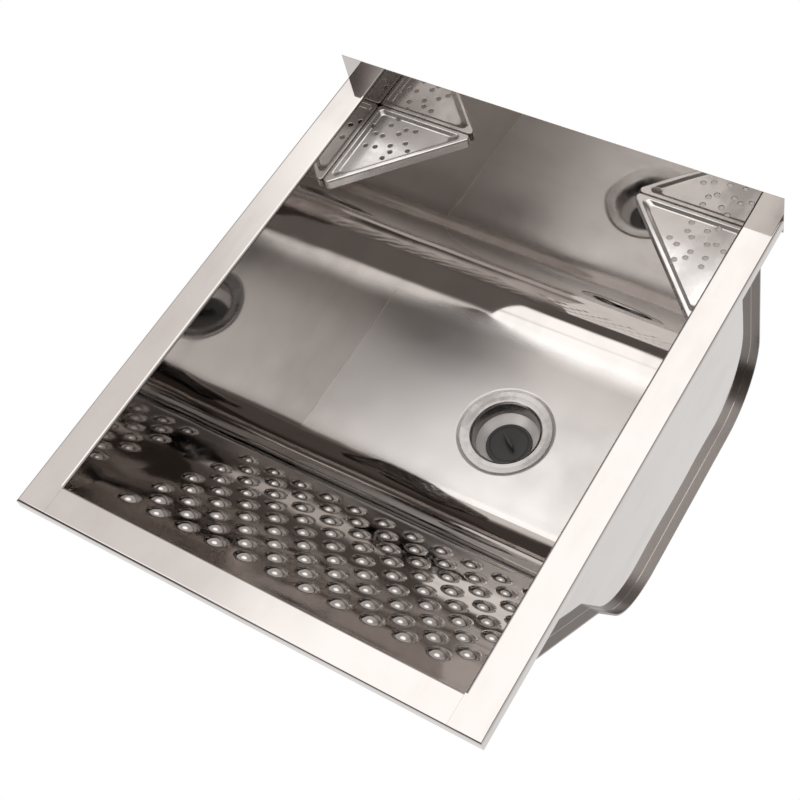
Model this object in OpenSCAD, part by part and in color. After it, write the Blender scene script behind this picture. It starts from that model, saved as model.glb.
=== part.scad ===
// Stainless steel laundry and service sink with a pressed washboard front.
// A wrap sheet forms the upstand, back, floor, washboard and front rim, and two side
// panels are seam-welded to its margins. Two pressed soap dishes sit in the back corners,
// and a waste fitting with a lift-out plug is clamped through the floor.
//
// Origin: middle of the back face of the upstand, level with the top of the rim.
// X runs to the right as seen from the front, Y into the wall behind, Z up.

/* [Rim] */
// Width over the two side rims
tub_w = 525; // [470:1:640]
// Depth from the front edge to the wall
tub_d = 600; // [570:1:720]
// Height of the upstand above the rim
upstand_h = 33; // [10:1:80]
// How far the ends of the upstand reach below the rim
upstand_tail = 20; // [14:1:40]
// Width of each side rim
side_rim_w = 35; // [24:1:50]
// Width of the front rim
front_rim_w = 33; // [20:1:45]
// Height of the turned-down lip
lip_h = 13; // [8:0.5:25]
// Outer radius of the bends along the rim
bend_r = 3; // [2:0.25:5]

/* [Bowl] */
// Thickness of the stainless sheet
sheet_t = 1; // [0.8:0.1:1.5]
// Depth of the floor below the rim
bowl_depth = 307; // [280:1:360]
// Radius between the back wall and the floor
back_r = 84; // [40:1:90]
// Radius between the floor and the front step
front_r = 52; // [30:1:60]
// Radius of the crest above the step
crest_r = 12; // [6:1:20]
// Angle of the front step from the floor
step_angle = 66; // [60:1:75]
// Width of the welded flange outside each side wall
seam_w = 11; // [8:0.5:16]
// Width of the fine groove left along the weld inside the bowl
seam_groove = 0.5; // [0.2:0.1:0.6]

/* [Washboard] */
// Slope of the washboard
board_angle = 45.8; // [42:0.2:48]
// Length of the washboard down the slope
board_len = 265; // [220:1:280]
// Straight drop from the front rim to the head of the washboard
board_drop = 8.4; // [5:0.2:10]
// Radius at the head of the washboard
foot_r = 4; // [3:0.5:6]
// Diameter of one dome at the sheet
dome_d = 24; // [16:1:28]
// Height of one dome
dome_h = 4.4; // [2.5:0.1:6]
// Distance between domes across the board
dome_pitch = 35.9; // [30:0.1:45]
// Distance between rows down the slope
row_pitch = 24.6; // [24:0.1:32]
// Distance of the first row from the head of the washboard
first_row = 44.1; // [25:0.1:60]
// Least plain width beside the field of domes
field_margin = 22; // [18:1:40]
// How far the field of domes sits to the right of the middle
field_shift = 4; // [0:0.5:6]
// Least plain length below the last row
last_margin = 18; // [15:1:30]

/* [Soap dishes] */
// Length of the two sides of a dish along the walls
dish_leg = 129; // [110:1:150]
// Depth of the dish rim below the sink rim
dish_drop = 31.5; // [20:0.5:50]
// Width of the raised rim round a dish
dish_rim_w = 5; // [4:0.5:8]
// Depth of the pan inside the rim
pan_depth = 3.8; // [3:0.1:8]
// Width of the slope between rim and pan
pan_slope_w = 3.5; // [2.5:0.5:8]
// Height of the turned-down skirt
skirt_h = 12; // [10:0.5:18]
// Radius of the corners of a dish
dish_corner_r = 5; // [4:0.5:8]
// Radius of the rolled edge of a dish
dish_edge_r = 2; // [1.5:0.25:2.5]
// Diameter of a drain hole
dish_hole_d = 5.6; // [4:0.1:7]
// Distance of the hole pattern's centre from the side wall
dish_hole_x = 37; // [34:0.5:42]
// Distance of the hole pattern's centre from the back wall
dish_hole_y = 36.5; // [34:0.5:42]
// Extra length of the right dish's two sides
right_leg_extra = 6; // [0:0.5:8]
// How far the right dish's pattern was punched off centre
right_pattern_shift = 6; // [0:0.5:8]
// Turn of the right dish's pattern
right_pattern_turn = 22; // [0:1:60]

/* [Waste fitting] */
// Distance of the outlet's axis from the wall
drain_y = 189; // [170:1:215]
// Distance of the outlet's axis to the right of the middle
drain_x = 3; // [0:0.5:8]
// Diameter of the flange
flange_d = 112; // [108:0.5:120]
// Thickness of the flange at its edge
flange_t = 1.5; // [1.2:0.1:2.5]
// Depth of the pressed seat round the outlet
seat_depth = 2; // [1.5:0.1:3]
// Gap between the flange and the wall of its seat
seat_gap = 0.9; // [0.7:0.1:3]
// Outer diameter of the cup's thread
cup_d = 86; // [80:0.5:90]
// Wall of the cup at its mouth
cup_wall = 3; // [2.5:0.1:4]
// Depth of the cup's straight wall below the flange
cup_depth = 21; // [18:0.5:30]
// Depth of the cone below the straight wall
cone_depth = 8.5; // [7:0.5:15]
// Outer diameter of the outlet thread
outlet_d = 59.6; // [56:0.1:62]
// Bore of the outlet
outlet_bore = 50; // [46:0.5:52]
// Length of the outlet below the cone
outlet_len = 42.5; // [36:0.5:60]
// Radial clearance of rings and nuts on their threads
thread_gap = 0.3; // [0.2:0.05:0.5]
// Thickness of the seal under the flange
seal_t = 1; // [0.8:0.1:1.5]
// Thickness of the rubber gasket under the floor
gasket_t = 3; // [2:0.1:4]
// Thickness of the slip washer above the locknut
washer_t = 1.2; // [0.8:0.1:2]
// Height of the locknut
locknut_h = 9; // [7:0.5:10]
// Number of lugs on the locknut
locknut_lugs = 8; // [6:1:10]

/* [Plug] */
// Diameter of the plug's top face
plug_d = 56; // [52:0.1:58]
// Thickness of the plug's disc
plug_t = 9; // [7:0.5:12]
// Clearance between the plug and its seat
plug_gap = 0.3; // [0.2:0.05:0.6]
// Length of the plug's grip
grip_len = 28; // [18:1:34]
// Width of the grip at its middle
grip_w = 5.5; // [4:0.5:8]
// Height of the grip
grip_h = 13; // [8:0.5:16]
// Turn of the grip about the outlet's axis
grip_turn = 144; // [0:1:180]

/* [Tailpiece] */
// Outer diameter of the tailpiece
tail_d = 50; // [46:0.5:52]
// Wall of the tailpiece
tail_wall = 1.8; // [1.2:0.1:2.5]
// Length of the tailpiece below its flange
tail_len = 80; // [60:1:200]
// Thickness of the tailpiece's flange
tail_flange_t = 2.5; // [2:0.1:4]
// Extra wall of the neck under the tailpiece's flange
tail_neck_t = 1; // [0.5:0.1:1.5]
// Thickness of the seal above the tailpiece
tail_seal_t = 2.5; // [2:0.1:4]
// Outer diameter of the coupling nut
nut_d = 74; // [70:0.5:80]
// How far the coupling nut reaches up the outlet thread
nut_grip = 18; // [12:0.5:22]
// Thickness of the coupling nut's inner lip
nut_lip_t = 3; // [2:0.5:5]
// Number of grip ribs round the coupling nut
nut_ribs = 12; // [8:1:16]

/* [Hidden] */

$fn = 96;
arc_step = 5;
eps = 0.01;
far = 1000;

steel = [0.78, 0.76, 0.74];
satin = [0.84, 0.82, 0.80];
chrome = [0.70, 0.69, 0.68];
black_rubber = [0.12, 0.115, 0.11];
white_plastic = [0.90, 0.90, 0.88];

// Plan sizes
half_w = tub_w / 2;
wall_x = half_w - side_rim_w;
seam_x = wall_x + seam_w;
floor_z = -bowl_depth;
seam_top_z = -lip_h - sheet_t;
board_top_y = front_rim_w - tub_d;

// Side view of the wrap, as [y, z] on the face seen from inside the bowl
back_top = [-sheet_t, upstand_h];
back_foot = [-sheet_t, floor_z];
board_top = [board_top_y, 0];
board_head = board_top - [0, board_drop];
crest = board_head + board_len * [cos(board_angle), -sin(board_angle)];
step_foot = [crest.x + (crest.y - floor_z) / tan(step_angle), floor_z];
front_edge = [-tub_d, 0];
lip_foot = [-tub_d, -lip_h];
bowl_path = [back_top, back_foot, step_foot, crest, board_head, board_top];
bowl_radii = [0, back_r, front_r, crest_r, foot_r, bend_r];
wrap_path = concat(bowl_path, [front_edge, lip_foot]);
wrap_radii = concat(bowl_radii, [bend_r, 0]);

// Field of domes: as many as fit between the side walls and above the crest
dome_sphere_r = (pow(dome_d / 2, 2) + pow(dome_h, 2)) / (2 * dome_h);
stagger = dome_pitch / 4;
field_w = 2 * (wall_x - field_margin - stagger - field_shift) - dome_d;
dome_cols = floor(field_w / dome_pitch) + 1;
dome_rows = floor((board_len - first_row - last_margin) / row_pitch) + 1;

// Hole pattern of a soap dish: [ring radius, holes in the ring, angle of the first hole]
dish_rings = [[10.8, 3, 60], [20, 6, 0], [29, 6, 17]];
dish_top_z = -dish_drop;

// Levels of the waste fitting, from the floor down
seat_z = floor_z - seat_depth;
flange_z = seat_z + seal_t;
seat_under_z = seat_z - sheet_t;
gasket_z = seat_under_z - gasket_t;
washer_z = gasket_z - washer_t;
locknut_z = washer_z - locknut_h;
cone_z = flange_z - cup_depth;
throat_z = cone_z - cone_depth;
outlet_z = throat_z - outlet_len;
tail_flange_z = outlet_z - tail_seal_t - tail_flange_t;

// Radii of the waste fitting
flange_r = flange_d / 2;
cup_r = cup_d / 2;
cup_bore_r = cup_r - cup_wall;
outlet_r = outlet_d / 2;
bore_r = outlet_bore / 2;
ring_bore_r = cup_r + thread_gap;
clamp_r = flange_r - 2;
throat_r = plug_d / 2 + plug_gap;
seat_r = flange_r + seat_gap;
neck_r = tail_d / 2 + tail_neck_t;
plug_taper = throat_r - bore_r - 1;

// ---------- Helpers ----------

function unit(v) = v / norm(v);

// Unit normal on the left of the way from a to b
function left_of(a, b) = let (u = unit(b - a)) [-u.y, u.x];

// The path moved sideways to its left by d
function shifted(path, d) = [
    for (i = [0 : len(path) - 1])
        let (
            into = left_of(path[max(i - 1, 0)], path[max(i, 1)]),
            out = left_of(path[min(i, len(path) - 2)], path[min(i + 1, len(path) - 1)])
        )
        path[i] + d * (into + out) / (1 + into * out)
];

// Signed turn of the path at corner b, in degrees
function turn_at(a, b, c) =
    let (u = unit(b - a), v = unit(c - b)) atan2(u.x * v.y - u.y * v.x, u * v);

// Points of an arc of radius r in place of corner b, one every `step` degrees
function arc_corner(a, b, c, r, step = arc_step) =
    let (
        u = unit(b - a),
        turn = turn_at(a, b, c),
        start = b - u * r * tan(abs(turn) / 2),
        middle = start + sign(turn) * r * [-u.y, u.x],
        arm = start - middle,
        steps = max(2, ceil(abs(turn) / step))
    )
    [
        for (i = [0 : steps])
            let (t = turn * i / steps)
            middle + [arm.x * cos(t) - arm.y * sin(t), arm.x * sin(t) + arm.y * cos(t)]
    ];

// An open path moved sideways by d, with its inner corners rounded
function rounded(path, radii, d = 0) =
    let (p = shifted(path, d), last = len(path) - 1)
    concat(
        [p[0]],
        [
            for (i = [1 : last - 1])
                let (r = radii[i] - sign(turn_at(p[i - 1], p[i], p[i + 1])) * d)
                for (q = r > 0 ? arc_corner(p[i - 1], p[i], p[i + 1], r) : [p[i]]) q
        ],
        [p[last]]
    );

// A closed outline with every corner rounded
function rounded_loop(path, radii, step = arc_step) = [
    for (i = [0 : len(path) - 1])
        let (
            n = len(path),
            a = path[(i + n - 1) % n],
            c = path[(i + 1) % n]
        )
        for (q = radii[i] > 0 ? arc_corner(a, path[i], c, radii[i], step) : [path[i]]) q
];

function reversed(list) = [for (i = [len(list) - 1 : -1 : 0]) list[i]];

// Sheet along a path, between the offsets d0 and d1
module band(path, radii, d0, d1) {
    polygon(concat(rounded(path, radii, d0), reversed(rounded(path, radii, d1))));
}

// Raises a side view, drawn as [y, z], along X
module across(length) {
    rotate([90, 0, 90])
        linear_extrude(length)
            children();
}

// Everything below the level z in a side view
module below(z) {
    translate([-far, z - far])
        square([2 * far, far]);
}

// ---------- Rim ----------

// Block under the rim's top face, inset by d, with rounded upper edges at both sides
module side_rounded_block(d) {
    r = bend_r - d;
    w = half_w - d;
    translate([0, far, 0])
        rotate([90, 0, 0])
            linear_extrude(2 * far) {
                translate([-w, -far])
                    square([2 * w, far - d - r]);
                translate([-w + r, -far])
                    square([2 * (w - r), far - d]);
                for (side = [-1, 1])
                    translate([side * (w - r), -d - r])
                        circle(r);
            }
}

// Block under the rim's top face, inset by d, with a rounded upper edge at the front
module front_rounded_block(d) {
    r = bend_r - d;
    y = -tub_d + d;
    translate([-far, 0, 0])
        across(2 * far) {
            translate([y, -far])
                square([far, far - d - r]);
            translate([y + r, -far])
                square([far, far - d]);
            translate([y + r, -d - r])
                circle(r);
        }
}

// Top face and lip of the whole rim, as one thin shell
module rim_shell() {
    intersection() {
        difference() {
            intersection() {
                side_rounded_block(0);
                front_rounded_block(0);
            }
            intersection() {
                side_rounded_block(sheet_t);
                front_rounded_block(sheet_t);
            }
        }
        translate([-half_w, -tub_d, -lip_h])
            cube([tub_w, tub_d - sheet_t, lip_h]);
    }
}

// ---------- Wrap sheet ----------

// One pressed dome, standing on the sheet's upper face at z = 0
module dome_cap() {
    rotate_extrude()
        intersection() {
            translate([0, dome_h - dome_sphere_r])
                circle(dome_sphere_r);
            translate([0, -sheet_t / 2])
                square([dome_d, dome_h + sheet_t]);
        }
}

// Puts a copy of the children at each dome, with z square to the washboard
module at_domes() {
    translate([0, board_head.x, board_head.y])
        rotate([-board_angle, 0, 0])
            for (row = [0 : dome_rows - 1]) {
                shift = (row % 2 == 0 ? -1 : 1) * stagger;
                for (col = [0 : dome_cols - 1])
                    translate([
                        field_shift + (col - (dome_cols - 1) / 2) * dome_pitch + shift,
                        first_row + row * row_pitch,
                        0
                    ])
                        children();
            }
}

// Pressed seat for the waste flange, with its sloping wall and its hole
module drain_seat() {
    top_r = seat_r + seat_depth;
    translate([drain_x, -drain_y, floor_z])
        rotate_extrude()
            polygon([
                [ring_bore_r, -seat_depth],
                [seat_r, -seat_depth],
                [top_r, 0],
                [top_r + sheet_t, 0],
                [top_r + sheet_t, -sheet_t],
                [top_r, -sheet_t],
                [seat_r, -seat_depth - sheet_t],
                [ring_bore_r, -seat_depth - sheet_t]
            ]);
}

module tub_wrap() {
    color(steel)
        difference() {
            union() {
                difference() {
                    translate([-seam_x, 0, 0])
                        across(2 * seam_x)
                            band(wrap_path, wrap_radii, 0, sheet_t);
                    // the front rim and the head of the washboard stop at the side panels
                    for (side = [0, 1])
                        mirror([side, 0, 0])
                            translate([wall_x, -tub_d - sheet_t, seam_top_z])
                                cube([seam_w + sheet_t, tub_d / 2, lip_h + 2 * sheet_t]);
                    translate([drain_x, -drain_y, floor_z - far / 2])
                        cylinder(h = far, r = seat_r + seat_depth + sheet_t / 2);
                }
                drain_seat();
                translate([-half_w, -sheet_t, -upstand_tail])
                    cube([tub_w, sheet_t, upstand_tail + upstand_h]);
                at_domes() dome_cap();
            }
            at_domes()
                translate([0, 0, dome_h - dome_sphere_r])
                    sphere(dome_sphere_r - sheet_t);
        }
}

// ---------- Side panels ----------

// Outline of the flat side wall
module wall_outline() {
    intersection() {
        polygon(rounded(bowl_path, bowl_radii));
        below(-bend_r);
    }
}

module side_panel() {
    color(steel)
        difference() {
            union() {
                // flat wall
                translate([wall_x, 0, 0])
                    across(sheet_t)
                        wall_outline();
                // flange that lies on the margin of the wrap
                translate([wall_x, 0, 0])
                    across(seam_w)
                        intersection() {
                            band(bowl_path, bowl_radii, 0, -sheet_t);
                            below(seam_top_z);
                        }
                // bend from the wall into the rim
                translate([wall_x + bend_r, -sheet_t, -bend_r])
                    rotate([90, 0, 0])
                        linear_extrude(tub_d - front_rim_w - sheet_t)
                            intersection() {
                                difference() {
                                    circle(bend_r);
                                    circle(bend_r - sheet_t);
                                }
                                translate([-bend_r, 0])
                                    square([bend_r, bend_r]);
                            }
                // rim and lip beside the bowl, and past the head of the washboard
                intersection() {
                    rim_shell();
                    union() {
                        translate([wall_x + bend_r, -tub_d, -lip_h])
                            cube([side_rim_w, tub_d, lip_h]);
                        translate([wall_x, -tub_d, -lip_h])
                            cube([side_rim_w, front_rim_w, lip_h]);
                    }
                }
            }
            // fine groove where the wall turns out along the weld
            translate([wall_x - eps, 0, 0])
                across(seam_groove + eps)
                    intersection() {
                        band(bowl_path, bowl_radii, 1, -sheet_t);
                        below(seam_top_z);
                    }
        }
}

module right_side_panel() {
    side_panel();
}

module left_side_panel() {
    mirror([1, 0, 0])
        side_panel();
}

// ---------- Soap dishes ----------

// Plan outline of a dish with sides of length leg, inset by d from its edge
function dish_outline(leg, d, r) =
    let (reach = leg - d * (1 + sqrt(2)))
    rounded_loop([[d, d], [reach, d], [d, reach]], [r, r, r], 15);

// Thin slice of the dish's plan at level z
module dish_slice(leg, d, r, z) {
    translate([0, 0, z])
        linear_extrude(eps)
            polygon(dish_outline(leg, d, max(r, 1)));
}

// Skirt and rim of a dish with the rolled upper edge
module dish_shell(leg, d) {
    r = dish_corner_r - d;
    roll = dish_edge_r - d;
    hull() {
        translate([0, 0, -skirt_h])
            linear_extrude(skirt_h - dish_edge_r)
                polygon(dish_outline(leg, d, r));
        dish_slice(leg, d + roll * (1 - cos(45)), r - roll * (1 - cos(45)), -d - roll * (1 - sin(45)));
        dish_slice(leg, d + roll, r - roll, -d - eps);
    }
}

// Hole pattern of a dish: rings of holes about one centre
module dish_holes() {
    for (ring = dish_rings)
        for (i = [0 : ring[1] - 1])
            rotate([0, 0, ring[2] + i * 360 / ring[1]])
                translate([ring[0], 0, -skirt_h - eps])
                    cylinder(h = skirt_h + 2 * eps, d = dish_hole_d);
}

// Dish in its own corner: the walls are x = 0 and y = 0, and the rim's top is z = 0.
// The child is the hole pattern.
module soap_dish(leg, shift) {
    pan_in = dish_rim_w + pan_slope_w;
    rim_r = dish_corner_r;
    difference() {
        union() {
            difference() {
                dish_shell(leg, 0);
                dish_shell(leg, sheet_t);
            }
            // pan and its slope, hung from the rim
            hull() {
                dish_slice(leg, dish_rim_w, rim_r, -sheet_t);
                dish_slice(leg, pan_in - sheet_t / 2, rim_r, -pan_depth - sheet_t);
            }
        }
        hull() {
            dish_slice(leg, dish_rim_w, rim_r, 0);
            dish_slice(leg, pan_in, rim_r, -pan_depth);
        }
        translate([dish_hole_x + shift, dish_hole_y, 0])
            children();
    }
}

module left_soap_dish() {
    color(satin)
        translate([-wall_x, -sheet_t, dish_top_z])
            mirror([0, 1, 0])
                soap_dish(dish_leg, 0)
                    dish_holes();
}

module right_soap_dish() {
    color(satin)
        translate([wall_x, -sheet_t, dish_top_z])
            rotate([0, 0, 180])
                soap_dish(dish_leg + right_leg_extra, right_pattern_shift)
                    rotate([0, 0, right_pattern_turn])
                        mirror([0, 1, 0])
                            dish_holes();
}

// ---------- Waste fitting ----------

module at_drain(z) {
    translate([drain_x, -drain_y, z])
        children();
}

// Flat ring standing on z
module ring(inner_r, outer_r, height) {
    difference() {
        cylinder(h = height, r = outer_r);
        translate([0, 0, -eps])
            cylinder(h = height + 2 * eps, r = inner_r);
    }
}

module flange_seal() {
    color(black_rubber)
        at_drain(seat_z)
            ring(ring_bore_r, clamp_r, seal_t);
}

// Section of the strainer body: flange, cup, cone and threaded outlet, as [r, z]
function strainer_section() =
    let (
        lip_r = cup_bore_r + 5,
        out_z = throat_z - flange_z
    )
    rounded_loop(
        [
            [flange_r, 0],
            [flange_r, flange_t],
            [lip_r + 4, flange_t - 0.6],
            [cup_bore_r, flange_t - 1],
            [cup_bore_r - 1, -cup_depth],
            [throat_r, out_z],
            [throat_r - plug_taper, out_z - plug_t],
            [bore_r, out_z - plug_t - 1],
            [bore_r, out_z - outlet_len],
            [outlet_r, out_z - outlet_len],
            [outlet_r, out_z],
            [cup_r, -cup_depth - 4],
            [cup_r, 0]
        ],
        [0, 0.8, 0, 4.5, 3, 0, 0, 0, 0, 0, 4, 4, 0]
    );

module strainer_body() {
    color(chrome)
        at_drain(flange_z)
            rotate_extrude()
                polygon(strainer_section());
}

module floor_gasket() {
    color(black_rubber)
        at_drain(gasket_z)
            ring(ring_bore_r, clamp_r, gasket_t);
}

module slip_washer() {
    color(white_plastic)
        at_drain(washer_z)
            ring(ring_bore_r, clamp_r, washer_t);
}

module locknut() {
    lug_w = 9;
    lug_len = 5;
    color(chrome)
        at_drain(locknut_z)
            difference() {
                union() {
                    cylinder(h = locknut_h, r = clamp_r - lug_len);
                    translate([0, 0, locknut_h - 3])
                        cylinder(h = 3, r = clamp_r);
                    for (i = [0 : locknut_lugs - 1])
                        rotate([0, 0, i * 360 / locknut_lugs])
                            translate([ring_bore_r + 2, -lug_w / 2, 0])
                                cube([clamp_r - ring_bore_r - 2.5, lug_w, locknut_h]);
                }
                translate([0, 0, -eps])
                    cylinder(h = locknut_h + 2 * eps, r = ring_bore_r);
            }
}

// ---------- Plug ----------

module drain_plug() {
    grip_arc_r = (pow(grip_len / 2, 2) + pow(grip_w / 2, 2)) / grip_w;
    top_r = plug_d / 2;
    color(black_rubber)
        at_drain(throat_z) {
            // tapered disc with a rounded upper edge
            rotate_extrude()
                polygon(rounded_loop(
                    [
                        [0, -plug_t + 1],
                        [top_r - plug_taper, -plug_t + 1],
                        [top_r, 0],
                        [top_r - 0.4, 1],
                        [0, 1]
                    ],
                    [0, 0.8, 0, 0.3, 0]
                ));
            // lens-shaped grip with an arched top
            rotate([0, 0, grip_turn])
                intersection() {
                    translate([0, grip_arc_r - grip_w / 2, 0])
                        cylinder(h = grip_h + 1, r = grip_arc_r);
                    translate([0, grip_w / 2 - grip_arc_r, 0])
                        cylinder(h = grip_h + 1, r = grip_arc_r);
                    translate([0, 0, grip_h + 1 - grip_len])
                        rotate([90, 0, 0])
                            translate([0, 0, -grip_w])
                                cylinder(h = 2 * grip_w, r = grip_len);
                }
        }
}

// ---------- Tailpiece ----------

module tail_seal() {
    color(black_rubber)
        at_drain(outlet_z - tail_seal_t)
            ring(bore_r, outlet_r - 0.5, tail_seal_t);
}

module tailpiece() {
    bore = tail_d / 2 - tail_wall;
    color(chrome)
        at_drain(tail_flange_z)
            difference() {
                union() {
                    cylinder(h = tail_flange_t, r = outlet_r - 0.5);
                    // thicker neck that the coupling nut's lip runs on
                    translate([0, 0, -nut_lip_t - 1])
                        cylinder(h = nut_lip_t + 1 + eps, r = neck_r);
                    translate([0, 0, -tail_len])
                        cylinder(h = tail_len, r = tail_d / 2);
                }
                translate([0, 0, -tail_len - eps])
                    cylinder(h = tail_len + tail_flange_t + 2 * eps, r = bore);
            }
}

module coupling_nut() {
    nut_z = tail_flange_z - nut_lip_t;
    height = outlet_z + nut_grip - nut_z;
    rib_w = 5;
    color(white_plastic)
        at_drain(nut_z)
            difference() {
                union() {
                    cylinder(h = height, r = nut_d / 2 - 2);
                    for (i = [0 : nut_ribs - 1])
                        rotate([0, 0, i * 360 / nut_ribs])
                            translate([nut_d / 2 - 5, -rib_w / 2, 0])
                                cube([5, rib_w, height - 2]);
                }
                translate([0, 0, nut_lip_t])
                    cylinder(h = height, r = outlet_r + thread_gap);
                translate([0, 0, -eps])
                    cylinder(h = height, r = neck_r + thread_gap);
            }
}

// ---------- Assembly ----------

tub_wrap();
left_side_panel();
right_side_panel();
left_soap_dish();
right_soap_dish();
flange_seal();
strainer_body();
drain_plug();
floor_gasket();
slip_washer();
locknut();
tail_seal();
tailpiece();
coupling_nut();
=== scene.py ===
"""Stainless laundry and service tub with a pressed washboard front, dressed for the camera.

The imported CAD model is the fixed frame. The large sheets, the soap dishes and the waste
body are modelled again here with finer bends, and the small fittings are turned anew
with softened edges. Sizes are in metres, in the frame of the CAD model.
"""
from __future__ import annotations

import logging
import math
from collections.abc import Callable, Iterable, Sequence
from dataclasses import dataclass, field
from enum import Enum

import bmesh
import bpy
from mathutils import Matrix, Vector

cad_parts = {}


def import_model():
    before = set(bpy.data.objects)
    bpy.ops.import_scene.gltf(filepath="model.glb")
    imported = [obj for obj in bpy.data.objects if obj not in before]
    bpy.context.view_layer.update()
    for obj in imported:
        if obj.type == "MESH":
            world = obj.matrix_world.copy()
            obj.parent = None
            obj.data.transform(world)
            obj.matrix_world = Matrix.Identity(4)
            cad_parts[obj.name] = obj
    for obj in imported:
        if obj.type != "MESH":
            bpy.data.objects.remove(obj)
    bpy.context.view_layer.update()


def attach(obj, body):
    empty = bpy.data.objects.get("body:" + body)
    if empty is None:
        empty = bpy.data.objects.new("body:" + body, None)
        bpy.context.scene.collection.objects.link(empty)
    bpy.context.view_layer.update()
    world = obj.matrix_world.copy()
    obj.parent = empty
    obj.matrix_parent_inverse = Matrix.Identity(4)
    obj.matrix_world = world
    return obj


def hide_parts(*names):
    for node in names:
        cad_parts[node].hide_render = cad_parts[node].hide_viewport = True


log = logging.getLogger("laundry_tub")

Point = tuple[float, float, float]
Flat = tuple[float, float]

MM = 0.001
TOUCH = MM / 100  # places closer than this are the same level or plane
NEAR = MM / 10  # places closer than this belong to the same edge of a sheet
DOUBLE = MM / 200  # doubled points of a turned or lofted piece
FULL = (0.0, 1.0)  # range of a mask
FADING = (1.0, 0.0)  # the same, turned round


class Slot(Enum):
    """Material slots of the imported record."""

    MIRROR = "mirror_steel"
    SATIN = "satin_steel"
    CHROME = "waste_chrome"
    RUBBER = "black_rubber"
    PLASTIC = "white_plastic"


class Side(Enum):
    """The two sides of the tub, as the sign of X."""

    LEFT = -1
    RIGHT = 1


# ---------- Shared effects, as node groups ----------


class EffectGroup:
    """A shader node group that is built once and placed in several materials."""

    def __init__(self, name: str, inputs: dict[str, float], outputs: Sequence[str]) -> None:
        """Opens a new group.

        Args:
            name: Name of the group.
            inputs: Name and default of each float input.
            outputs: Names of the float outputs.
        """
        self.tree = bpy.data.node_groups.new(name, "ShaderNodeTree")
        for label, default in inputs.items():
            socket = self.tree.interface.new_socket(
                name=label, in_out="INPUT", socket_type="NodeSocketFloat"
            )
            socket.default_value = default
        for label in outputs:
            self.tree.interface.new_socket(
                name=label, in_out="OUTPUT", socket_type="NodeSocketFloat"
            )
        self.entry = self.tree.nodes.new("NodeGroupInput")
        self.exit = self.tree.nodes.new("NodeGroupOutput")

    def node(self, kind: str, **settings: object) -> bpy.types.Node:
        """Adds a node to the group and returns it."""
        return add_node(self.tree, kind, **settings)

    def link(self, source: bpy.types.NodeSocket, target: bpy.types.NodeSocket) -> None:
        """Links two sockets."""
        self.tree.links.new(source, target)

    def math(self, operation: str, *values: object) -> bpy.types.NodeSocket:
        """Adds a Math node fed by sockets or numbers and returns its output."""
        return math_node(self.tree, operation, *values)


def add_node(tree: bpy.types.NodeTree, kind: str, **settings: object) -> bpy.types.Node:
    """Adds a node to a tree.

    Args:
        tree: The node tree.
        kind: Node type.
        **settings: Attributes of the node to set.

    Returns:
        The new node.
    """
    node = tree.nodes.new(kind)
    for key, value in settings.items():
        setattr(node, key, value)
    return node


def math_node(tree: bpy.types.NodeTree, operation: str, *values: object) -> bpy.types.NodeSocket:
    """Adds a Math node.

    Args:
        tree: The node tree.
        operation: The operation's name.
        *values: A socket or a number for each input.

    Returns:
        The output socket.
    """
    node = add_node(tree, "ShaderNodeMath", operation=operation)
    for index, value in enumerate(values):
        if isinstance(value, bpy.types.NodeSocket):
            tree.links.new(value, node.inputs[index])
        else:
            node.inputs[index].default_value = value
    return node.outputs[0]


def range_node(
    tree: bpy.types.NodeTree,
    value: bpy.types.NodeSocket,
    source: Flat,
    target: Flat,
    smooth: bool = True,
) -> bpy.types.NodeSocket:
    """Maps a value from one range to another, clamped.

    Args:
        tree: The node tree.
        value: The socket to map.
        source: Low and high end of the incoming range.
        target: Low and high end of the outgoing range.
        smooth: Whether the step is eased at both ends.

    Returns:
        The output socket.
    """
    node = add_node(tree, "ShaderNodeMapRange")
    node.interpolation_type = "SMOOTHSTEP" if smooth else "LINEAR"
    tree.links.new(value, node.inputs["Value"])
    node.inputs["From Min"].default_value = source[0]
    node.inputs["From Max"].default_value = source[1]
    node.inputs["To Min"].default_value = target[0]
    node.inputs["To Max"].default_value = target[1]
    return node.outputs["Result"]


def object_noise(
    tree: bpy.types.NodeTree,
    scale: float | bpy.types.NodeSocket,
    detail: float = 2.0,
    roughness: float = 0.5,
    stretch: Point = (1.0, 1.0, 1.0),
    shift: Point = (0.0, 0.0, 0.0),
    turn: Point = (0.0, 0.0, 0.0),
) -> bpy.types.NodeSocket:
    """Adds noise on Object coordinates.

    Args:
        tree: The node tree.
        scale: Cells per metre, as a number or a socket.
        detail: Octaves of the noise.
        roughness: Strength of the finer octaves.
        stretch: Scale of the pattern along each axis.
        shift: Offset of the pattern.
        turn: Turn of the pattern, in radians.

    Returns:
        The noise value's socket.
    """
    place = add_node(tree, "ShaderNodeTexCoord")
    mapping = add_node(tree, "ShaderNodeMapping")
    mapping.inputs["Location"].default_value = shift
    mapping.inputs["Rotation"].default_value = turn
    mapping.inputs["Scale"].default_value = stretch
    noise = add_node(tree, "ShaderNodeTexNoise")
    noise.inputs["Detail"].default_value = detail
    noise.inputs["Roughness"].default_value = roughness
    if isinstance(scale, bpy.types.NodeSocket):
        tree.links.new(scale, noise.inputs["Scale"])
    else:
        noise.inputs["Scale"].default_value = scale
    tree.links.new(place.outputs["Object"], mapping.inputs["Vector"])
    tree.links.new(mapping.outputs["Vector"], noise.inputs["Vector"])
    return noise.outputs["Fac"]


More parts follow.
